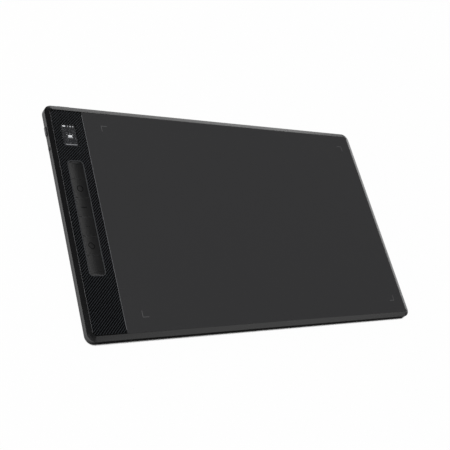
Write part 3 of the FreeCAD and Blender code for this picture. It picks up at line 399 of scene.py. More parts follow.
FOOT_ROUND = 0.4 * MM
foot_rubber = moulded("dull_black_rubber", "#0f0f10", 0.75, 0.6, 0.5, 0.15, 0.3)
foot_edge = edge_round(0, FOOT_ROUND, FOOT_ROUND)
for side in ("front_left", "front_right", "back_left", "back_right"):
    low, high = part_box(f"foot_{side}")
    middle, size = (low + high) / 2, high - low
    lower_edge = [(step, low.z + FOOT_ROUND - height) for step, height in foot_edge]
    bm = bmesh.new()
    swept(bm, pill(middle.x, middle.y, size.x, size.y), lower_edge[::-1] + [(0, high.z)])
    piece_from(bm, f"foot_pad_{side}", foot_rubber, "case", "foot_rubber", f"foot_{side}")


# The drawing surface is a thin polyester sheet with a frosted coating, which gives the pen some bite
# and the eye an even dark grey with hardly any gloss. Four corner marks frame the area that feels the
# pen. They are printed in a flat ink of a slightly lighter grey.
SEAT_GAP = 0.08 * MM
FILM_CUT = 0.12 * MM
FILM_ROUND = 0.06 * MM
FIELD_CORNER = 3.5 * MM
film_low, film_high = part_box("drawing_surface")
film_middle = (film_low + film_high) / 2
film_size = film_high - film_low
polyester = moulded("frosted_polyester_film", "#39393a", 0.8, 0.4, 0.35, 0.02, 0.08)
bm = bmesh.new()
ring = outline(
    film_middle.x + FILM_CUT / 2, film_middle.y, film_size.x - FILM_CUT, film_size.y, FIELD_CORNER,
    (False, True, True, False),
)
swept(bm, ring, [(SEAT_GAP, film_low.z)] + edge_round(SEAT_GAP, film_high.z, FILM_ROUND))
piece_from(bm, "drawing_film", polyester, "case", "drawing_film", "drawing_surface")

ACTIVE_WIDTH, ACTIVE_DEPTH = 345 * MM, 215.4 * MM
RIGHT_MARGIN = 14.45 * MM
FORWARD = 0.25 * MM
MARK_LEG, MARK_WIDTH = 7.0 * MM, 0.45 * MM
INK_SUNK, INK_THICK = 0.01 * MM, 0.02 * MM
active_x = film_high.x - RIGHT_MARGIN - ACTIVE_WIDTH / 2
active_y = film_middle.y - FORWARD
mark_ink = moulded("printed_grey_ink", "#626263", 0.6, 0.2, 0.1, 0.05, 0.3)
bm = bmesh.new()
for right in (-1, 1):
    for back in (-1, 1):
        corner = Vector((active_x + right * ACTIVE_WIDTH / 2, active_y + back * ACTIVE_DEPTH / 2))
        corner += Vector((right, back)) * MARK_WIDTH
        for width, depth in ((MARK_LEG, MARK_WIDTH), (MARK_WIDTH, MARK_LEG)):
            at = corner - Vector((right * width / 2, back * depth / 2))
            if depth > width:
                at.y -= back * MARK_WIDTH / 2
                depth -= MARK_WIDTH
            swept(
                bm, outline(at.x, at.y, width, depth, 0.0),
                [(0, film_high.z - INK_SUNK), (0, film_high.z + INK_THICK)],
            )
piece_from(bm, "corner_marks", mark_ink, "case", "drawing_film")


# The control panel is a moulded strip whose face is ribbed across at 45 degrees, inside a narrow flat
# border. The ribs lean like file teeth, and are drawn at 2.15 mm because the real 1.9 mm is too fine to
# show. A lighter grey on their crests is a painted highlight: fine lit lines on black. A thin light grey
# bead lies along each long joint and paints the highlight that the edge there catches.
def copies_tree():
    """A geometry tree that sets copies of a piece out in rows and columns."""
    tree = bpy.data.node_groups.new("copies", "GeometryNodeTree")
    kinds = {
        "Piece": "Object", "Columns": "Int", "Rows": "Int", "Width": "Float", "Depth": "Float",
        "Centre": "Vector", "Material": "Material",
    }
    for size, kind in kinds.items():
        tree.interface.new_socket(size, in_out="INPUT", socket_type=f"NodeSocket{kind}")
    tree.interface.new_socket("Geometry", in_out="OUTPUT", socket_type="NodeSocketGeometry")
    sizes = tree.nodes.new("NodeGroupInput").outputs
    grid = node(
        tree, "GeometryNodeMeshGrid",
        {
            "Size X": sizes["Width"], "Size Y": sizes["Depth"],
            "Vertices X": sizes["Columns"], "Vertices Y": sizes["Rows"],
        },
    )
    piece = node(tree, "GeometryNodeObjectInfo", {"Object": sizes["Piece"]})
    spread = node(
        tree, "GeometryNodeInstanceOnPoints",
        {"Points": grid.outputs["Mesh"], "Instance": piece.outputs["Geometry"]},
    )
    placed = node(
        tree, "GeometryNodeTransform", {"Geometry": spread.outputs[0], "Translation": sizes["Centre"]}
    )
    real = node(tree, "GeometryNodeRealizeInstances", {"Geometry": placed.outputs[0]})
    painted = node(
        tree, "GeometryNodeSetMaterial", {"Geometry": real.outputs[0], "Material": sizes["Material"]}
    )
    node(tree, "NodeGroupOutput", {"Geometry": painted.outputs[0]})
    return tree


copies = copies_tree()


def copied(bm, columns, rows, width, depth, centre, material):
    """The plain mesh of many copies of a small piece, which is drawn about the origin."""
    bmesh.ops.recalc_face_normals(bm, faces=bm.faces)
    seed_mesh = bpy.data.meshes.new("seed")
    bm.to_mesh(seed_mesh)
    bm.free()
    seed, holder = put(seed_mesh, "seed"), put(bpy.data.meshes.new("copies"), "copies")
    modifier = holder.modifiers.new("copies", "NODES")
    modifier.node_group = copies
    values = {
        "Piece": seed, "Columns": columns, "Rows": rows, "Width": width, "Depth": depth,
        "Centre": centre, "Material": material,
    }
    for item in copies.interface.items_tree:
        if item.in_out == "INPUT":
            modifier[item.identifier] = values[item.name]
    seen = holder.evaluated_get(bpy.context.evaluated_depsgraph_get())
    mesh = bpy.data.meshes.new_from_object(seen)
    bpy.data.objects.remove(holder)
    bpy.data.objects.remove(seed)
    return mesh


def plate(bm, rings, low, high):
    """A flat plate inside the first ring, open inside the other rings."""
    edges = []
    for ring in rings:
        verts = [bm.verts.new((*point, low)) for point, way in ring]
        edges += [bm.edges.new((v, verts[(k + 1) % len(verts)])) for k, v in enumerate(verts)]
    filled = bmesh.ops.triangle_fill(bm, use_beauty=True, edges=edges, normal=(0, 0, -1))
    faces = [f for f in filled["geom"] if isinstance(f, bmesh.types.BMFace)]
    above = bmesh.ops.extrude_face_region(bm, geom=faces, use_keep_orig=True)
    bmesh.ops.translate(
        bm, vec=(0, 0, high - low), verts=[v for v in above["geom"] if isinstance(v, bmesh.types.BMVert)]
    )
    bmesh.ops.recalc_face_normals(bm, faces=bm.faces)


def ring_of(low, high, corner, grow=0.0, rounded=(True, True, True, True)):
    """The outline of a box seen from above, grown by a clearance."""
    middle, size = (low + high) / 2, high - low
    return outline(middle.x, middle.y, size.x + 2 * grow, size.y + 2 * grow, corner + grow, rounded)


def combined(mesh, other, operation):
    """What a boolean operation leaves of a mesh and another closed mesh."""
    holder, cutter = put(mesh, "holder"), put(other, "cutter")
    modifier = holder.modifiers.new("combined", "BOOLEAN")
    modifier.operation = operation
    modifier.solver = "EXACT"
    modifier.object = cutter
    seen = holder.evaluated_get(bpy.context.evaluated_depsgraph_get())
    result = bpy.data.meshes.new_from_object(seen)
    for helper in (holder, cutter):
        bpy.data.objects.remove(helper)
    return result


def mesh_of(bm, name):
    """The mesh of what has been drawn, to be worked on further."""
    mesh = bpy.data.meshes.new(name)
    bm.to_mesh(mesh)
    bm.free()
    return mesh


BORDER = 0.8 * MM
BORDER_ROUND = 0.1 * MM
RIB_PITCH = 2.15 * MM
RIB_RISE = 0.3 * MM
RIB_SINK = 0.05 * MM
RIB_SECTION = [(-0.5, 0.0), (-0.3, 0.5), (-0.1, 0.85), (0.1, 1.0), (0.3, 1.0), (0.4, 0.0)]
CREST_SECTION = [(0.1, 1.0), (0.1, 1.1), (0.3, 1.1), (0.3, 1.0)]
ROD_REACH = 0.8
RIB_FOLD = 50
FIELD_LAP, FIELD_GAP = 0.02 * MM, 0.05 * MM
TRIM_CORNER = 4.5 * MM
TRIM_ASIDE, TRIM_SHORT = 0.4 * MM, 0.7 * MM
PANE_CORNER = 0.8 * MM
panel_low, panel_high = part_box("control_panel")
panel_size = panel_high - panel_low
panel_middle = (panel_low + panel_high) / 2
trim_low, trim_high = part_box("key_bezel")
trim_low += Vector((TRIM_ASIDE, 0.0, 0.0))
trim_high -= Vector((TRIM_ASIDE, TRIM_SHORT, 0.0))
pane_low, pane_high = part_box("display_window")
left_corners = (True, False, False, True)
field_top = panel_high.z - RIB_RISE - RIB_SINK
field_rings = [
    ring_of(panel_low, panel_high, FIELD_CORNER, FIELD_LAP - BORDER, left_corners),
    ring_of(trim_low, trim_high, TRIM_CORNER, FIELD_GAP),
    ring_of(pane_low, pane_high, PANE_CORNER, FIELD_GAP),
]
bm = bmesh.new()
plate(bm, field_rings, field_top - RIB_SINK, panel_high.z)
field = mesh_of(bm, "field")


def ribs(section, material):
    """Rods of one section, laid across the panel at 45 degrees and cut to its ribbed field."""
    along, across = Vector((1, 1, 0)).normalized(), Vector((1, -1, 0)).normalized()
    loop = [across * RIB_PITCH * u + Vector((0, 0, RIB_RISE * z)) for u, z in section]
    ends = (-ROD_REACH, ROD_REACH)
    bm = bmesh.new()
    lofted(bm, [[point + along * panel_size.x * end for point in loop] for end in ends])
    step = RIB_PITCH * math.sqrt(2)
    count = int((panel_size.x + panel_size.y) / step)
    middle = (panel_middle.x, panel_middle.y, field_top)
    rods = copied(bm, 1, count, 0.0, (count - 1) * step, middle, material)
    return combined(rods, field.copy(), "INTERSECT")


ribbed_abs = moulded("moulded_ribbed_abs", "#040405", 0.4, 0.3, 0.1, 0.12, 0.09)
# The crests' lighter grey is a painted highlight, in place of the light that the crests catch.
crest_highlight_abs = moulded("painted_crest_highlights", "#36393d", 0.55, 0.3, 0.1, 0.05, 0.1)
bm = bmesh.new()
plate(bm, field_rings, panel_low.z, field_top)
border = [(SEAT_GAP, panel_low.z)] + edge_round(SEAT_GAP, panel_high.z, BORDER_ROUND)
border += [(-BORDER - step, height) for step, height in border[::-1]]
swept(bm, ring_of(panel_low, panel_high, FIELD_CORNER, 0.0, left_corners), border, band=True)
bm.from_mesh(ribs(RIB_SECTION, ribbed_abs))
piece_from(bm, "ribbed_panel", ribbed_abs, "case", "panel_plastic", "control_panel", sharp=RIB_FOLD)
bm = bmesh.new()
bm.from_mesh(ribs(CREST_SECTION, crest_highlight_abs))
piece_from(bm, "rib_crests", crest_highlight_abs, "case", "panel_plastic")

BEAD = 0.4 * MM
BEAD_CORNER, BEAD_ROUND = 0.1 * MM, 0.05 * MM
BEAD_DEEP, BEAD_PROUD = 0.3 * MM, 0.02 * MM
# The beads' light grey is a painted highlight along the panel's long edges.
highlight_bead = moulded("painted_highlight_bead", "#78797c", 0.55, 0.3, 0.1, 0.04, 0.2)
bead_length = panel_size.y - 2 * FIELD_CORNER
bm = bmesh.new()
for x, width in ((film_low.x - FILM_CUT, BEAD), (panel_low.x, BEAD / 2)):
    swept(
        bm, outline(x, panel_middle.y, width, bead_length, BEAD_CORNER, steps=3),
        [(0, panel_high.z - BEAD_DEEP)] + edge_round(0, panel_high.z + BEAD_PROUD, BEAD_ROUND, 2),
    )
piece_from(bm, "panel_beads", highlight_bead, "case", "panel_plastic")


# The key trim is a thin moulded ring round the six keys, in satin grey. It stands a little proud of
# the ribs and of the keys, so it frames them with one even line. It and the keys are drawn a little
# inside their CAD solids, where the photograph shows their outline.
TRIM_WIDTH = 0.9 * MM
TRIM_ROUND = 0.15 * MM
trim_abs = moulded("satin_grey_trim", "#3f4042", 0.55, 0.3, 0.1, 0.05, 0.15)
trim_edge = [(0, trim_low.z)] + edge_round(0, trim_high.z, TRIM_ROUND)
trim_edge += [(-TRIM_WIDTH - step, height) for step, height in trim_edge[::-1]]
bm = bmesh.new()
swept(bm, ring_of(trim_low, trim_high, TRIM_CORNER), trim_edge, band=True)
piece_from(bm, "key_trim", trim_abs, "case", "bezel_plastic", "key_bezel")


# Six long keys share one row, each an ABS cap on a flange that keeps it in. A shallow trough along the
# row guides the thumb, and its satin face shades from light to dark across it. Four keys carry a
# plain mark in black ink, which shows only as a darker line.
KEYS = 6
KEY_GAP = 0.06 * MM
KEY_SAG = 0.9 * MM
KEY_CORNER = 3.4 * MM
KEY_BEND = 1.2 * MM
KEY_SLICE = 0.8 * MM
KEY_EDGE = [(0, 0.3 * MM), (-0.08 * MM, 0.16 * MM), (-0.32 * MM, 0.0)]
TROUGH_END = 1.8 * MM
RAMP_FOLD = 20
FLANGE_THICK, FLANGE_APART = 0.8 * MM, 0.02 * MM
STEM, STEM_HEIGHT, STEM_LAP = 4.4 * MM, 0.4 * MM, 0.1 * MM
key_abs = moulded("moulded_key_abs", "#0b0b0c", 0.38, 0.3, 0.15)
key_boxes = [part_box(f"key_{k}") for k in range(1, KEYS + 1)]
key_x = (key_boxes[0][0].x + key_boxes[0][1].x) / 2
key_half = (trim_high.x - trim_low.x) / 2 - TRIM_WIDTH - KEY_GAP
flange_half = (key_boxes[0][1].x - key_boxes[0][0].x) / 2
key_top = key_boxes[0][1].z
flange_low = key_boxes[0][0].z + STEM_HEIGHT
row_front, row_back = key_boxes[-1][0].y, trim_high.y - TRIM_WIDTH - KEY_GAP
trough_radius = (key_half**2 + KEY_SAG**2) / (2 * KEY_SAG)


def trough(x, y):
    """How far the key's face lies below its long edges. A short ramp closes each end of the row."""
    deep = math.sqrt(trough_radius**2 - min(abs(x - key_x), key_half) ** 2) - (trough_radius - KEY_SAG)
    return deep * min(max(min(y - row_front, row_back - y) / TROUGH_END, 0.0), 1.0)


def sliced(bm, step):
    """Divide a mesh across the key row and at the ramps, so that it can bend with the trough."""
    count = int(2 * key_half / step)
    cuts = [((key_x + (k - count / 2) * step, 0, 0), (1, 0, 0)) for k in range(count + 1)]
    cuts += [((0, y, 0), (0, 1, 0)) for y in (row_front + TROUGH_END, row_back - TROUGH_END)]
    for point, way in cuts:
        geometry = list(bm.verts) + list(bm.edges) + list(bm.faces)
        bmesh.ops.bisect_plane(bm, geom=geometry, dist=1e-8, plane_co=point, plane_no=way)


for k, (low, high) in enumerate(key_boxes, start=1):
    back = min(high.y, row_back)
    rounded = {1: (False, False, True, True), KEYS: (True, True, False, False)}.get(k, (False,) * 4)
    bm = bmesh.new()
    ring = outline(key_x, (low.y + back) / 2, 2 * key_half, back - low.y, KEY_CORNER, rounded)
    swept(bm, ring, [(0, flange_low)] + [(step, key_top - drop) for step, drop in KEY_EDGE])
    sliced(bm, KEY_SLICE)
    bend = key_top - KEY_BEND
    for v in bm.verts:
        if v.co.z > bend:
            v.co.z -= trough(v.co.x, v.co.y) * (v.co.z - bend) / KEY_BEND
    y = (low.y + high.y) / 2
    flange = outline(key_x, y, 2 * flange_half, high.y - low.y - FLANGE_APART, 0.0)
    swept(bm, flange, [(0, flange_low - HAIR), (0, flange_low + FLANGE_THICK)])
    swept(bm, pill(key_x, y, STEM, STEM), [(0, low.z), (0, flange_low + STEM_LAP)])
    fold = RAMP_FOLD if k == 1 else EVEN_FOLD
    piece_from(bm, f"key_cap_{k}", key_abs, f"key_{k}", "key_plastic", f"key_{k}", sharp=fold)


def printed(bm, ring, width=None):
    """A thin print on the keys: the inside of a ring, or a line along it."""
    low, high = -0.03 * MM, INK_THICK
    if width:
        band = [(width / 2, low), (width / 2, high), (-width / 2, high), (-width / 2, low)]
        swept(bm, ring, band, band=True)
    else:
        swept(bm, ring, [(0, low), (0, high)])


STROKE = 0.8 * MM
DASH = 0.9 * MM
MARK_SIZE = 6.2 * MM
MARK_SLICE = 0.5 * MM
OVAL_SHARE, OVAL_CORNER, OVAL_TURN = 0.75, 1.6 * MM, math.radians(-50)
key_ink = moulded("printed_black_ink", "#030303", 0.5, 0.2, 0.1, 0.05, 0.1)
key_y = [(low.y + high.y) / 2 for low, high in key_boxes]
marks = {k: bmesh.new() for k in (2, 3, 4, 5)}
printed(marks[2], pill(key_x, key_y[1], MARK_SIZE, MARK_SIZE), STROKE)
printed(marks[3], pill(key_x, key_y[2], MARK_SIZE, DASH))
for dot in (-1, 0, 1):
    printed(marks[4], pill(key_x + dot * 2 * DASH, key_y[3], DASH, DASH))
printed(marks[5], outline(0, 0, MARK_SIZE, OVAL_SHARE * MARK_SIZE, OVAL_CORNER), STROKE)
marks[5].transform(Matrix.Translation((key_x, key_y[4], 0)) @ Matrix.Rotation(OVAL_TURN, 4, "Z"))
for k, bm in marks.items():
    sliced(bm, MARK_SLICE)
    for v in bm.verts:
        v.co.z += key_top - trough(v.co.x, v.co.y)
    piece_from(bm, f"key_mark_{k}", key_ink, f"key_{k}", "key_plastic")


# The display shows through a flush acrylic pane, bonded to it without an air gap, which adds only a
# faint gloss. Its lit face is dark grey with white and pale grey signs: a battery and three small
# signs at the back, a round figure in the middle and a bar at the front.
def clear(name, code, roughness=0.03):
    """Clear acrylic with the faint waves of a cast sheet."""
    material, tree = new_material(name)
    place = node(tree, "ShaderNodeTexCoord").outputs["Object"]
    waves = node(tree, "ShaderNodeTexNoise", {"Vector": place, "Scale": 1 / (12 * MM)})
    relief = node(
        tree, "ShaderNodeBump", {"Height": waves.outputs["Fac"], "Strength": 0.05, "Distance": 0.02 * MM}
    )
    shader = node(
        tree, "ShaderNodeBsdfPrincipled",
        {
            "Base Color": colour(code), "Roughness": roughness, "Normal": relief.outputs[0],
            "IOR": 1.49, "Transmission Weight": 1.0,
        },
    )
    node(tree, "ShaderNodeOutputMaterial", {"Surface": shader.outputs[0]})
    return material


PANE_SUNK, PANE_ROUND = 0.08 * MM, 0.04 * MM
FACE_DEPTH = 0.4 * MM
SIGN_THICK = 0.04 * MM
acrylic = clear("polished_acrylic", "#f4f6f8")
face_z = pane_high.z - FACE_DEPTH
bm = bmesh.new()
swept(
    bm, ring_of(pane_low, pane_high, PANE_CORNER),
    [(0, face_z + 2 * SIGN_THICK)] + edge_round(0, pane_high.z - PANE_SUNK, PANE_ROUND, 2),
)
piece_from(bm, "window_pane", acrylic, "case", "window_glass", "display_window")

LIT_WIDTH, LIT_DEPTH = 14.9 * MM, 24.9 * MM
LIT_CORNER = 0.3 * MM
pane_middle = (pane_low + pane_high) / 2


def lit(name, dark, bright):
    """A lit liquid crystal face, whose colour changes evenly from front to back."""
    material, tree = new_material(name)
    place = node(tree, "ShaderNodeTexCoord").outputs["Object"]
    back = node(tree, "ShaderNodeSeparateXYZ", {"Vector": place})
    rise = node(
        tree, "ShaderNodeMapRange",
        {
            "Value": back.outputs["Y"], "From Min": pane_middle.y - LIT_DEPTH / 2,
            "From Max": pane_middle.y + LIT_DEPTH / 2,
        },
    )
    shade = node(
        tree, "ShaderNodeMix", {"Factor": rise.outputs[0], 6: colour(dark), 7: colour(bright)},
        data_type="RGBA",
    )
    shader = node(
        tree, "ShaderNodeBsdfPrincipled",
        {
            "Base Color": (0.0, 0.0, 0.0, 1.0), "Roughness": 0.3, "Emission Color": shade.outputs[2],
            "Emission Strength": 1.0,
        },
    )
    node(tree, "ShaderNodeOutputMaterial", {"Surface": shader.outputs[0]})
    return material


lit_face = lit("lit_liquid_crystal", "#28282a", "#2b2b2c")
lit_sign = lit("lit_white_signs", "#ffffff", "#ffffff")
lit_grey = lit("lit_grey_signs", "#9c9c9d", "#b8b8b9")
bm = bmesh.new()
swept(
    bm, outline(pane_middle.x, pane_middle.y, LIT_WIDTH, LIT_DEPTH, LIT_CORNER),
    [(0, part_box("display_module")[1].z), (0, face_z)],
)
piece_from(bm, "display_face", lit_face, "case", "display_panel")

# A sign is how far right and back of the display's middle it lies, its width, depth and corner, in mm.
SIGN_ROW = 10.9
WHITE_SIGNS = [(-4.7, SIGN_ROW, 3.2, 1.2, 0.3), (0.35, -0.75, 4.4, 1.6, 0.6)]
SMALL_SIGNS = [(x, SIGN_ROW, width, 1.4, 0.3) for x, width in ((-0.4, 0.8), (2.4, 1.6), (5.3, 1.3))]
FIGURE_FOOT = [(0.35, -2.45, 5.4, 1.4, 0.4)]
FIGURE_DOTS = [(x, y, 0.8, 0.9, 0.3) for x, y in ((-3.0, 0.75), (0.3, 1.6), (3.3, 0.75))]
BAR = [(0.0, -11.0, 12.8, 0.7, 0.3)]
for name, material, signs in (
    ("display_signs", lit_sign, WHITE_SIGNS),
    ("display_grey_signs", lit_grey, SMALL_SIGNS + FIGURE_FOOT + FIGURE_DOTS + BAR),
):
    bm = bmesh.new()
    for x, y, width, depth, corner in signs:
        ring = outline(pane_middle.x + x * MM, pane_middle.y + y * MM, width * MM, depth * MM, corner * MM)
        swept(bm, ring, [(0, face_z - INK_SUNK), (0, face_z + SIGN_THICK)])
    piece_from(bm, name, material, "case", "display_panel")


# The power button and the status light sit in slots of the left wall. Each has a long rounded face
# and a wider flange behind the wall. The button is satin ABS in a lighter grey than the case, and the
# light's face is a milky polycarbonate guide, which shows as a grey pill while it is off.
def stood(bm, start, facing):
    """Turn what was drawn flat at the origin so that it faces out through a wall."""
    upright = Vector((0, 0, 1))
    axes = Matrix((upright.cross(facing), upright, facing)).transposed()
    bm.transform(Matrix.Translation(start) @ axes.to_4x4())


def box_piece(bm, low, high):
    """A plain block between two corners, as part of a piece."""
    middle, size = (low + high) / 2, high - low
    swept(bm, outline(middle.x, middle.y, size.x, size.y, 0.0), [(0, low.z), (0, high.z)])


WALL = 2.1 * MM
PLUG_FLANGE = 1.0 * MM
PLUG_ROUND, PLUG_CORNER = 0.4 * MM, 1.0 * MM
BUTTON_LENGTH, BUTTON_TAIL = 10.4 * MM, Vector((3.0, 1.4)) * MM
LIGHT_LENGTH, LIGHT_TAIL = 2.8 * MM, Vector((2.8, 2.7)) * MM


def wall_plug(name, piece, length, tail, meets, material, body, slot):
    """A face in its slot, with a flange behind the wall and a tail at the height of what it meets."""
    low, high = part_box(name)
    y, z = (low.y + high.y) / 2, (low.z + high.z) / 2
    flange_x = case_low.x + WALL
    tail_x = flange_x + PLUG_FLANGE
    bm = bmesh.new()
    face = [(0, 0)] + edge_round(0, flange_x - low.x, PLUG_ROUND)
    swept(bm, outline(0, 0, length, high.z - low.z, PLUG_CORNER), face)
    stood(bm, Vector((flange_x, y, z)), Vector((-1, 0, 0)))
    box_piece(bm, Vector((flange_x, low.y, low.z)), Vector((tail_x, high.y, high.z)))
    met_low, met_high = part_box(meets)
    tail_z = (met_low.z + met_high.z) / 2
    box_piece(
        bm, Vector((tail_x, y - tail.x / 2, tail_z - tail.y / 2)),
        Vector((high.x, y + tail.x / 2, tail_z + tail.y / 2)),
    )
    piece_from(bm, piece, material, body, slot, name)


button_abs = moulded("moulded_button_abs", "#444446", 0.42, 0.3, 0.15)
wall_plug(
    "power_button", "power_key", BUTTON_LENGTH, BUTTON_TAIL, "power_switch",
    button_abs, "power_button", "button_plastic",
)
light_pc = moulded("milky_polycarbonate", "#3a3b3c", 0.35, 0.3, 0.1)
wall_plug(
    "status_light", "light_window", LIGHT_LENGTH, LIGHT_TAIL, "status_light",
    light_pc, "case", "light_guide",
)


# The charging port sits in the back wall. A surround of the case's ABS snaps into the joint of the two
# shells. Behind it the socket, a shell of bright nickel-plated steel round a dull black nylon tongue
# with fine gold-plated contacts, is soldered to the main board.
def metal(name, code, roughness, grain_mm, stretch=1.0):
    """Bare metal, whose gloss and relief carry the fine marks of rolling or drawing along X."""
    material, tree = new_material(name)
    place = node(tree, "ShaderNodeTexCoord").outputs["Object"]
    drawn = node(tree, "ShaderNodeMapping", {"Vector": place, "Scale": (1 / stretch, 1.0, 1.0)})
    marks = node(
        tree, "ShaderNodeTexNoise",
        {"Vector": drawn.outputs[0], "Scale": 1 / (grain_mm * MM), "Detail": 4.0},
    )
    dullness = node(
        tree, "ShaderNodeMapRange",
        {
            "Value": marks.outputs["Fac"], "From Min": NOISE_LOW, "From Max": NOISE_HIGH,
            "To Min": roughness * 0.8, "To Max": roughness * 1.2,
        },
    )
    relief = node(
        tree, "ShaderNodeBump", {"Height": marks.outputs["Fac"], "Strength": 0.2, "Distance": 0.02 * MM}
    )
    shader = node(
        tree, "ShaderNodeBsdfPrincipled",
        {
            "Base Color": colour(code), "Metallic": 1.0, "Roughness": dullness.outputs[0],
            "Normal": relief.outputs[0],
        },
    )
    node(tree, "ShaderNodeOutputMaterial", {"Surface": shader.outputs[0]})
    return material


SOCKET_WIDTH, SOCKET_HEIGHT, SOCKET_GAP = 8.94 * MM, 3.2 * MM, 0.12 * MM
SURROUND_CORNER, SURROUND_ROUND = 1.2 * MM, 0.3 * MM
backwards = Vector((0, 1, 0))
surround_low, surround_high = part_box("port_surround")
surround_size = surround_high - surround_low
port_middle = (surround_low + surround_high) / 2
outside = outline(0, 0, surround_size.x, surround_size.z, SURROUND_CORNER)
opening = pill(0, 0, SOCKET_WIDTH + 2 * SOCKET_GAP, SOCKET_HEIGHT + 2 * SOCKET_GAP)
rim = edge_round(0, surround_size.y, SURROUND_ROUND)
bm = bmesh.new()
lofted(
    bm,
    [raised(outside, 0, 0)]
    + [raised(outside, *place) for place in rim]
    + [raised(opening, -step, height) for step, height in rim[::-1]]
    + [raised(opening, 0, 0)],
    band=True,
)
stood(bm, Vector((port_middle.x, surround_low.y, port_middle.z)), backwards)
piece_from(bm, "port_frame", case_abs, "case", "surround_plastic", "port_surround")

SHELL_WALL, SHELL_ROUND = 0.3 * MM, 0.1 * MM
MOUTH_DEPTH = 6.2 * MM
socket_steel = metal("nickel_plated_steel", "#b4b2ae", 0.28, 0.6, 4.0)
socket_low, socket_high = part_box("usb_c_socket")
socket_depth = socket_high.y - socket_low.y
mouth_floor = socket_depth - MOUTH_DEPTH
shell = pill(0, 0, SOCKET_WIDTH, SOCKET_HEIGHT)
mouth = pill(0, 0, SOCKET_WIDTH - 2 * SHELL_WALL, SOCKET_HEIGHT - 2 * SHELL_WALL)
rim = edge_round(0, socket_depth, SHELL_ROUND)
bm = bmesh.new()
lofted(
    bm,
    [raised(shell, 0, 0)]
    + [raised(shell, *place) for place in rim]
    + [raised(mouth, -step, height) for step, height in rim[::-1]]
    + [raised(mouth, 0, mouth_floor)],
)
port_seat = Vector((port_middle.x, socket_low.y, port_middle.z))
stood(bm, port_seat, backwards)
piece_from(bm, "socket_shell", socket_steel, "case", "socket_steel", "usb_c_socket")

TONGUE_WIDTH, TONGUE_HEIGHT, TONGUE_DEPTH = 6.7 * MM, 0.7 * MM, 4.6 * MM
TONGUE_CORNER, TONGUE_ROUND, TONGUE_SUNK = 0.1 * MM, 0.2 * MM, 0.05 * MM
tongue_black = moulded("glass_filled_nylon", "#141415", 0.5, 0.2, 0.2)
tongue_line = [(0, mouth_floor - TONGUE_SUNK)] + edge_round(0, mouth_floor + TONGUE_DEPTH, TONGUE_ROUND)
bm = bmesh.new()
swept(bm, outline(0, 0, TONGUE_WIDTH, TONGUE_HEIGHT, TONGUE_CORNER), tongue_line)
stood(bm, port_seat, backwards)
piece_from(bm, "socket_tongue", tongue_black, "case", "socket_steel")

CONTACTS = 12
CONTACT_PITCH = 0.5 * MM
CONTACT_LONG = 3.2 * MM
CONTACT_HALF, CONTACT_RISE = 0.13 * MM, 0.02 * MM
CONTACT_START = 0.8 * MM
gold = metal("gold_plated_copper", "#d9b36a", 0.25, 0.3)
contact = bmesh.new()
box_piece(
    contact, Vector((-CONTACT_HALF, 0, -CONTACT_RISE)), Vector((CONTACT_HALF, CONTACT_LONG, CONTACT_RISE))
)
contact_y = port_seat.y + mouth_floor + CONTACT_START
bm = bmesh.new()
for side in (-1, 1):
    start = (port_seat.x, contact_y, port_seat.z + side * TONGUE_HEIGHT / 2)
    row = copied(contact.copy(), CONTACTS, 1, (CONTACTS - 1) * CONTACT_PITCH, 0.0, start, gold)
    bm.from_mesh(row)
contact.free()
piece_from(bm, "socket_contacts", gold, "case", "socket_steel")


# Six screws of blackened steel, with a dull dark glint, hold the back cover on. Their pan heads with
# cross drives lie deep in round wells of the underside, and their shanks reach up into the bosses of
# the front shell.
HEAD_RADIUS, HEAD_HEIGHT = 1.9 * MM, 1.1 * MM
HEAD_EDGE, HEAD_ROUND = 0.7 * HEAD_HEIGHT, 0.7 * MM
DRIVE_WIDTH, DRIVE_REACH = 0.45 * MM, 1.1 * MM
DRIVE_START, DRIVE_DEPTH = -0.1 * MM, 0.6 * MM
SHANK_RADIUS, SHANK_LAP = 0.9 * MM, 0.05 * MM
THREAD_PITCH, THREAD_DEPTH, THREAD_ROOT = 0.7 * MM, 0.15 * MM, 0.15 * MM


def disc(x, y, radius, steps=8):
    """The outline of a disc, drawn with so many points in each quarter."""
    return outline(x, y, 2 * radius, 2 * radius, radius - HAIR, steps=steps)


screw_steel = metal("blackened_steel", "#3a3a3c", 0.4, 0.5)
screw_low, screw_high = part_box("case_screws")
head = bmesh.new()
head_line = [(step, HEAD_EDGE - height) for step, height in edge_round(0, HEAD_EDGE, HEAD_ROUND)]
swept(head, disc(0, 0, HEAD_RADIUS, steps=5), head_line[::-1] + [(0, HEAD_HEIGHT)])
bmesh.ops.recalc_face_normals(head, faces=head.faces)
drive = bmesh.new()
for width, deep in ((DRIVE_WIDTH, DRIVE_REACH), (DRIVE_REACH, DRIVE_WIDTH)):
    box_piece(drive, Vector((-width, -deep, DRIVE_START)), Vector((width, deep, DRIVE_DEPTH)))
screw = bmesh.new()
screw.from_mesh(combined(mesh_of(head, "head"), mesh_of(drive, "drive"), "DIFFERENCE"))
shank_length = screw_high.z - screw_low.z - HEAD_HEIGHT
shank_line = [(-THREAD_DEPTH, HEAD_HEIGHT - SHANK_LAP)]
for turn in range(int(shank_length / THREAD_PITCH)):
    start = HEAD_HEIGHT + turn * THREAD_PITCH
    shank_line += [(-THREAD_DEPTH, start + THREAD_ROOT), (0, start + THREAD_PITCH / 2)]
shank_line += [(-THREAD_DEPTH, HEAD_HEIGHT + shank_length)]
swept(screw, disc(0, 0, SHANK_RADIUS, steps=5), shank_line)
bm = bmesh.new()
bm.from_mesh(
    copied(
        screw, 3, 2,
        screw_high.x - screw_low.x - 2 * HEAD_RADIUS, screw_high.y - screw_low.y - 2 * HEAD_RADIUS,
        ((screw_low.x + screw_high.x) / 2, (screw_low.y + screw_high.y) / 2, screw_low.z), screw_steel,
    )
)
piece_from(bm, "cover_screws", screw_steel, "case", "screw_steel", "case_screws")


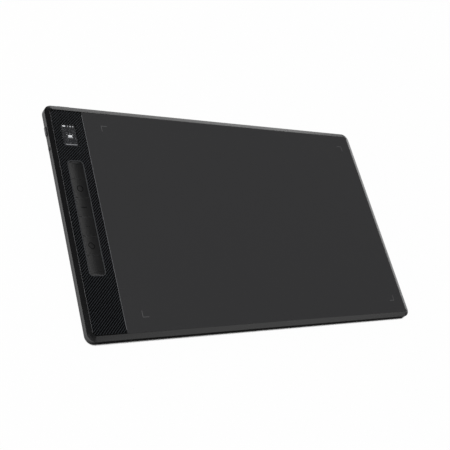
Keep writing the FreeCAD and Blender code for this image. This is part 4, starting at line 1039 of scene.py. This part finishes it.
# The display unit is a sealed glass sandwich, black and glossy, in a satin moulded tray. A frame of
# dull closed-cell foam on top of it keeps dust out.
def dress(material, *names):
    """Give carried-over CAD pieces their material."""
    for name in names:
        mesh = nodes[name].data
        mesh.materials.clear()
        mesh.materials.append(material)


foam = moulded("closed_cell_foam", "#161616", 0.95, 0.5, 1.0, 0.2, 0.1)
dress(moulded("black_display_glass", "#101114", 0.12, 0.2, 0.05), "display_module")
dress(foam, "display_gasket")
dress(moulded("moulded_tray_abs", "#1c1c1d", 0.55, 0.4, 0.3), "display_holder")


# Under the keys lies a mat of pale milky silicone, moulded in one with a soft dome a key, which folds
# in when the key is pressed. The power button works a small switch of dull black nylon.
DOME_HEIGHT = 1.1 * MM
DOME_BASE, DOME_CROWN = 3.4 * MM, 2.2 * MM
DOME_ROUND, DOME_SUNK = 0.3 * MM, 0.02 * MM
MAT_CORNER, MAT_EDGE = 1.0 * MM, 0.1 * MM
silicone = moulded("translucent_silicone", "#b4b6b8", 0.5, 1.2, 0.2, 0.06, 0.4)
mat_low, mat_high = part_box("key_mat")
mat_top = mat_high.z - DOME_HEIGHT
bm = bmesh.new()
mat_side = [(0, mat_low.z), (0, mat_top - MAT_EDGE), (-MAT_EDGE, mat_top)]
swept(bm, ring_of(mat_low, mat_high, MAT_CORNER), mat_side)
piece_from(bm, "key_mat_sheet", silicone, "case", "mat_silicone", "key_mat")
dome_side = [(DOME_BASE - DOME_CROWN, mat_top - DOME_SUNK)] + edge_round(0, mat_high.z, DOME_ROUND)
for k, y in enumerate(key_y, start=1):
    bm = bmesh.new()
    swept(bm, disc(key_x, y, DOME_CROWN), dome_side)
    dome = piece_from(bm, f"key_dome_{k}", silicone, "case", "mat_silicone")
    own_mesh(dome)
dress(tongue_black, "power_switch", "switch_plunger")


# The boards are glass fibre laminate under a solder mask, and the ribbons are polyimide film with
# copper tracks, which show as lighter lines. Real tracks are too fine to show, so they are drawn
# coarser. The boards are held by small screws of the same blackened steel as the cover's.
def laminate(name, mask, track, pitch_mm, roughness=0.35):
    """A circuit: a film of one colour over rows of tracks, with the small relief that they make."""
    material, tree = new_material(name)
    place = node(tree, "ShaderNodeTexCoord").outputs["Object"]
    tracks = node(
        tree, "ShaderNodeTexBrick",
        {
            "Vector": place, "Scale": 1 / (pitch_mm * MM), "Mortar Size": 0.12, "Mortar Smooth": 0.2,
            "Brick Width": 3.0, "Row Height": 0.5, "Color1": colour(mask), "Color2": colour(mask),
            "Mortar": colour(track),
        },
    )
    relief = node(
        tree, "ShaderNodeBump",
        {"Height": tracks.outputs["Fac"], "Strength": 0.4, "Distance": 0.03 * MM},
    )
    shader = node(
        tree, "ShaderNodeBsdfPrincipled",
        {
            "Base Color": tracks.outputs["Color"], "Normal": relief.outputs[0],
            "Roughness": roughness, "IOR": 1.5,
        },
    )
    node(tree, "ShaderNodeOutputMaterial", {"Surface": shader.outputs[0]})
    return material


ribbon = laminate("amber_polyimide_film", "#9c5a14", "#c98a3c", 1.2)
dress(laminate("green_masked_laminate", "#0c3a22", "#1c5a38", 1.6), "main_board", "key_board")
dress(laminate("sensor_masked_laminate", "#0f2f1f", "#27513a", 6.0), "sensor_board")
dress(ribbon, "display_flex", "key_flex", "sensor_flex")
dress(screw_steel, "board_screws")


# On the main board sit a can of bright tinned steel over the processor, a smooth pale ceramic aerial,
# the glossy pale resin of the status light and the milky nylon plug of the battery.
dress(metal("tinned_sheet_steel", "#c2c2c0", 0.3, 0.8, 6.0), "processor_shield")
dress(moulded("white_ceramic", "#d9d6cc", 0.3, 0.4, 0.1), "radio_antenna")
dress(moulded("clear_epoxy_resin", "#e6dcb4", 0.15, 0.3, 0.05), "status_led")
dress(moulded("white_nylon", "#ddd9cc", 0.5, 0.4, 0.15), "battery_plug")


# The cell is a flat pouch of laminated aluminium foil with an uneven soft gloss, on tape of the same
# foam, with two leads in dull red silicone. The shield sheet and the slotted plate behind the sensor
# are rolled steel and stamped aluminium, and both show long rolling marks.
dress(metal("laminated_foil_pouch", "#b9bbbe", 0.4, 9.0), "battery_cell")
dress(foam, "battery_tape")
dress(moulded("red_wire_silicone", "#7c1410", 0.5, 0.4, 0.1), "battery_leads")
dress(metal("rolled_silicon_steel", "#8e9194", 0.35, 1.0, 20.0), "shield_sheet")
dress(metal("stamped_aluminium", "#c3c6c9", 0.38, 0.9, 12.0), "stiffener_plate")
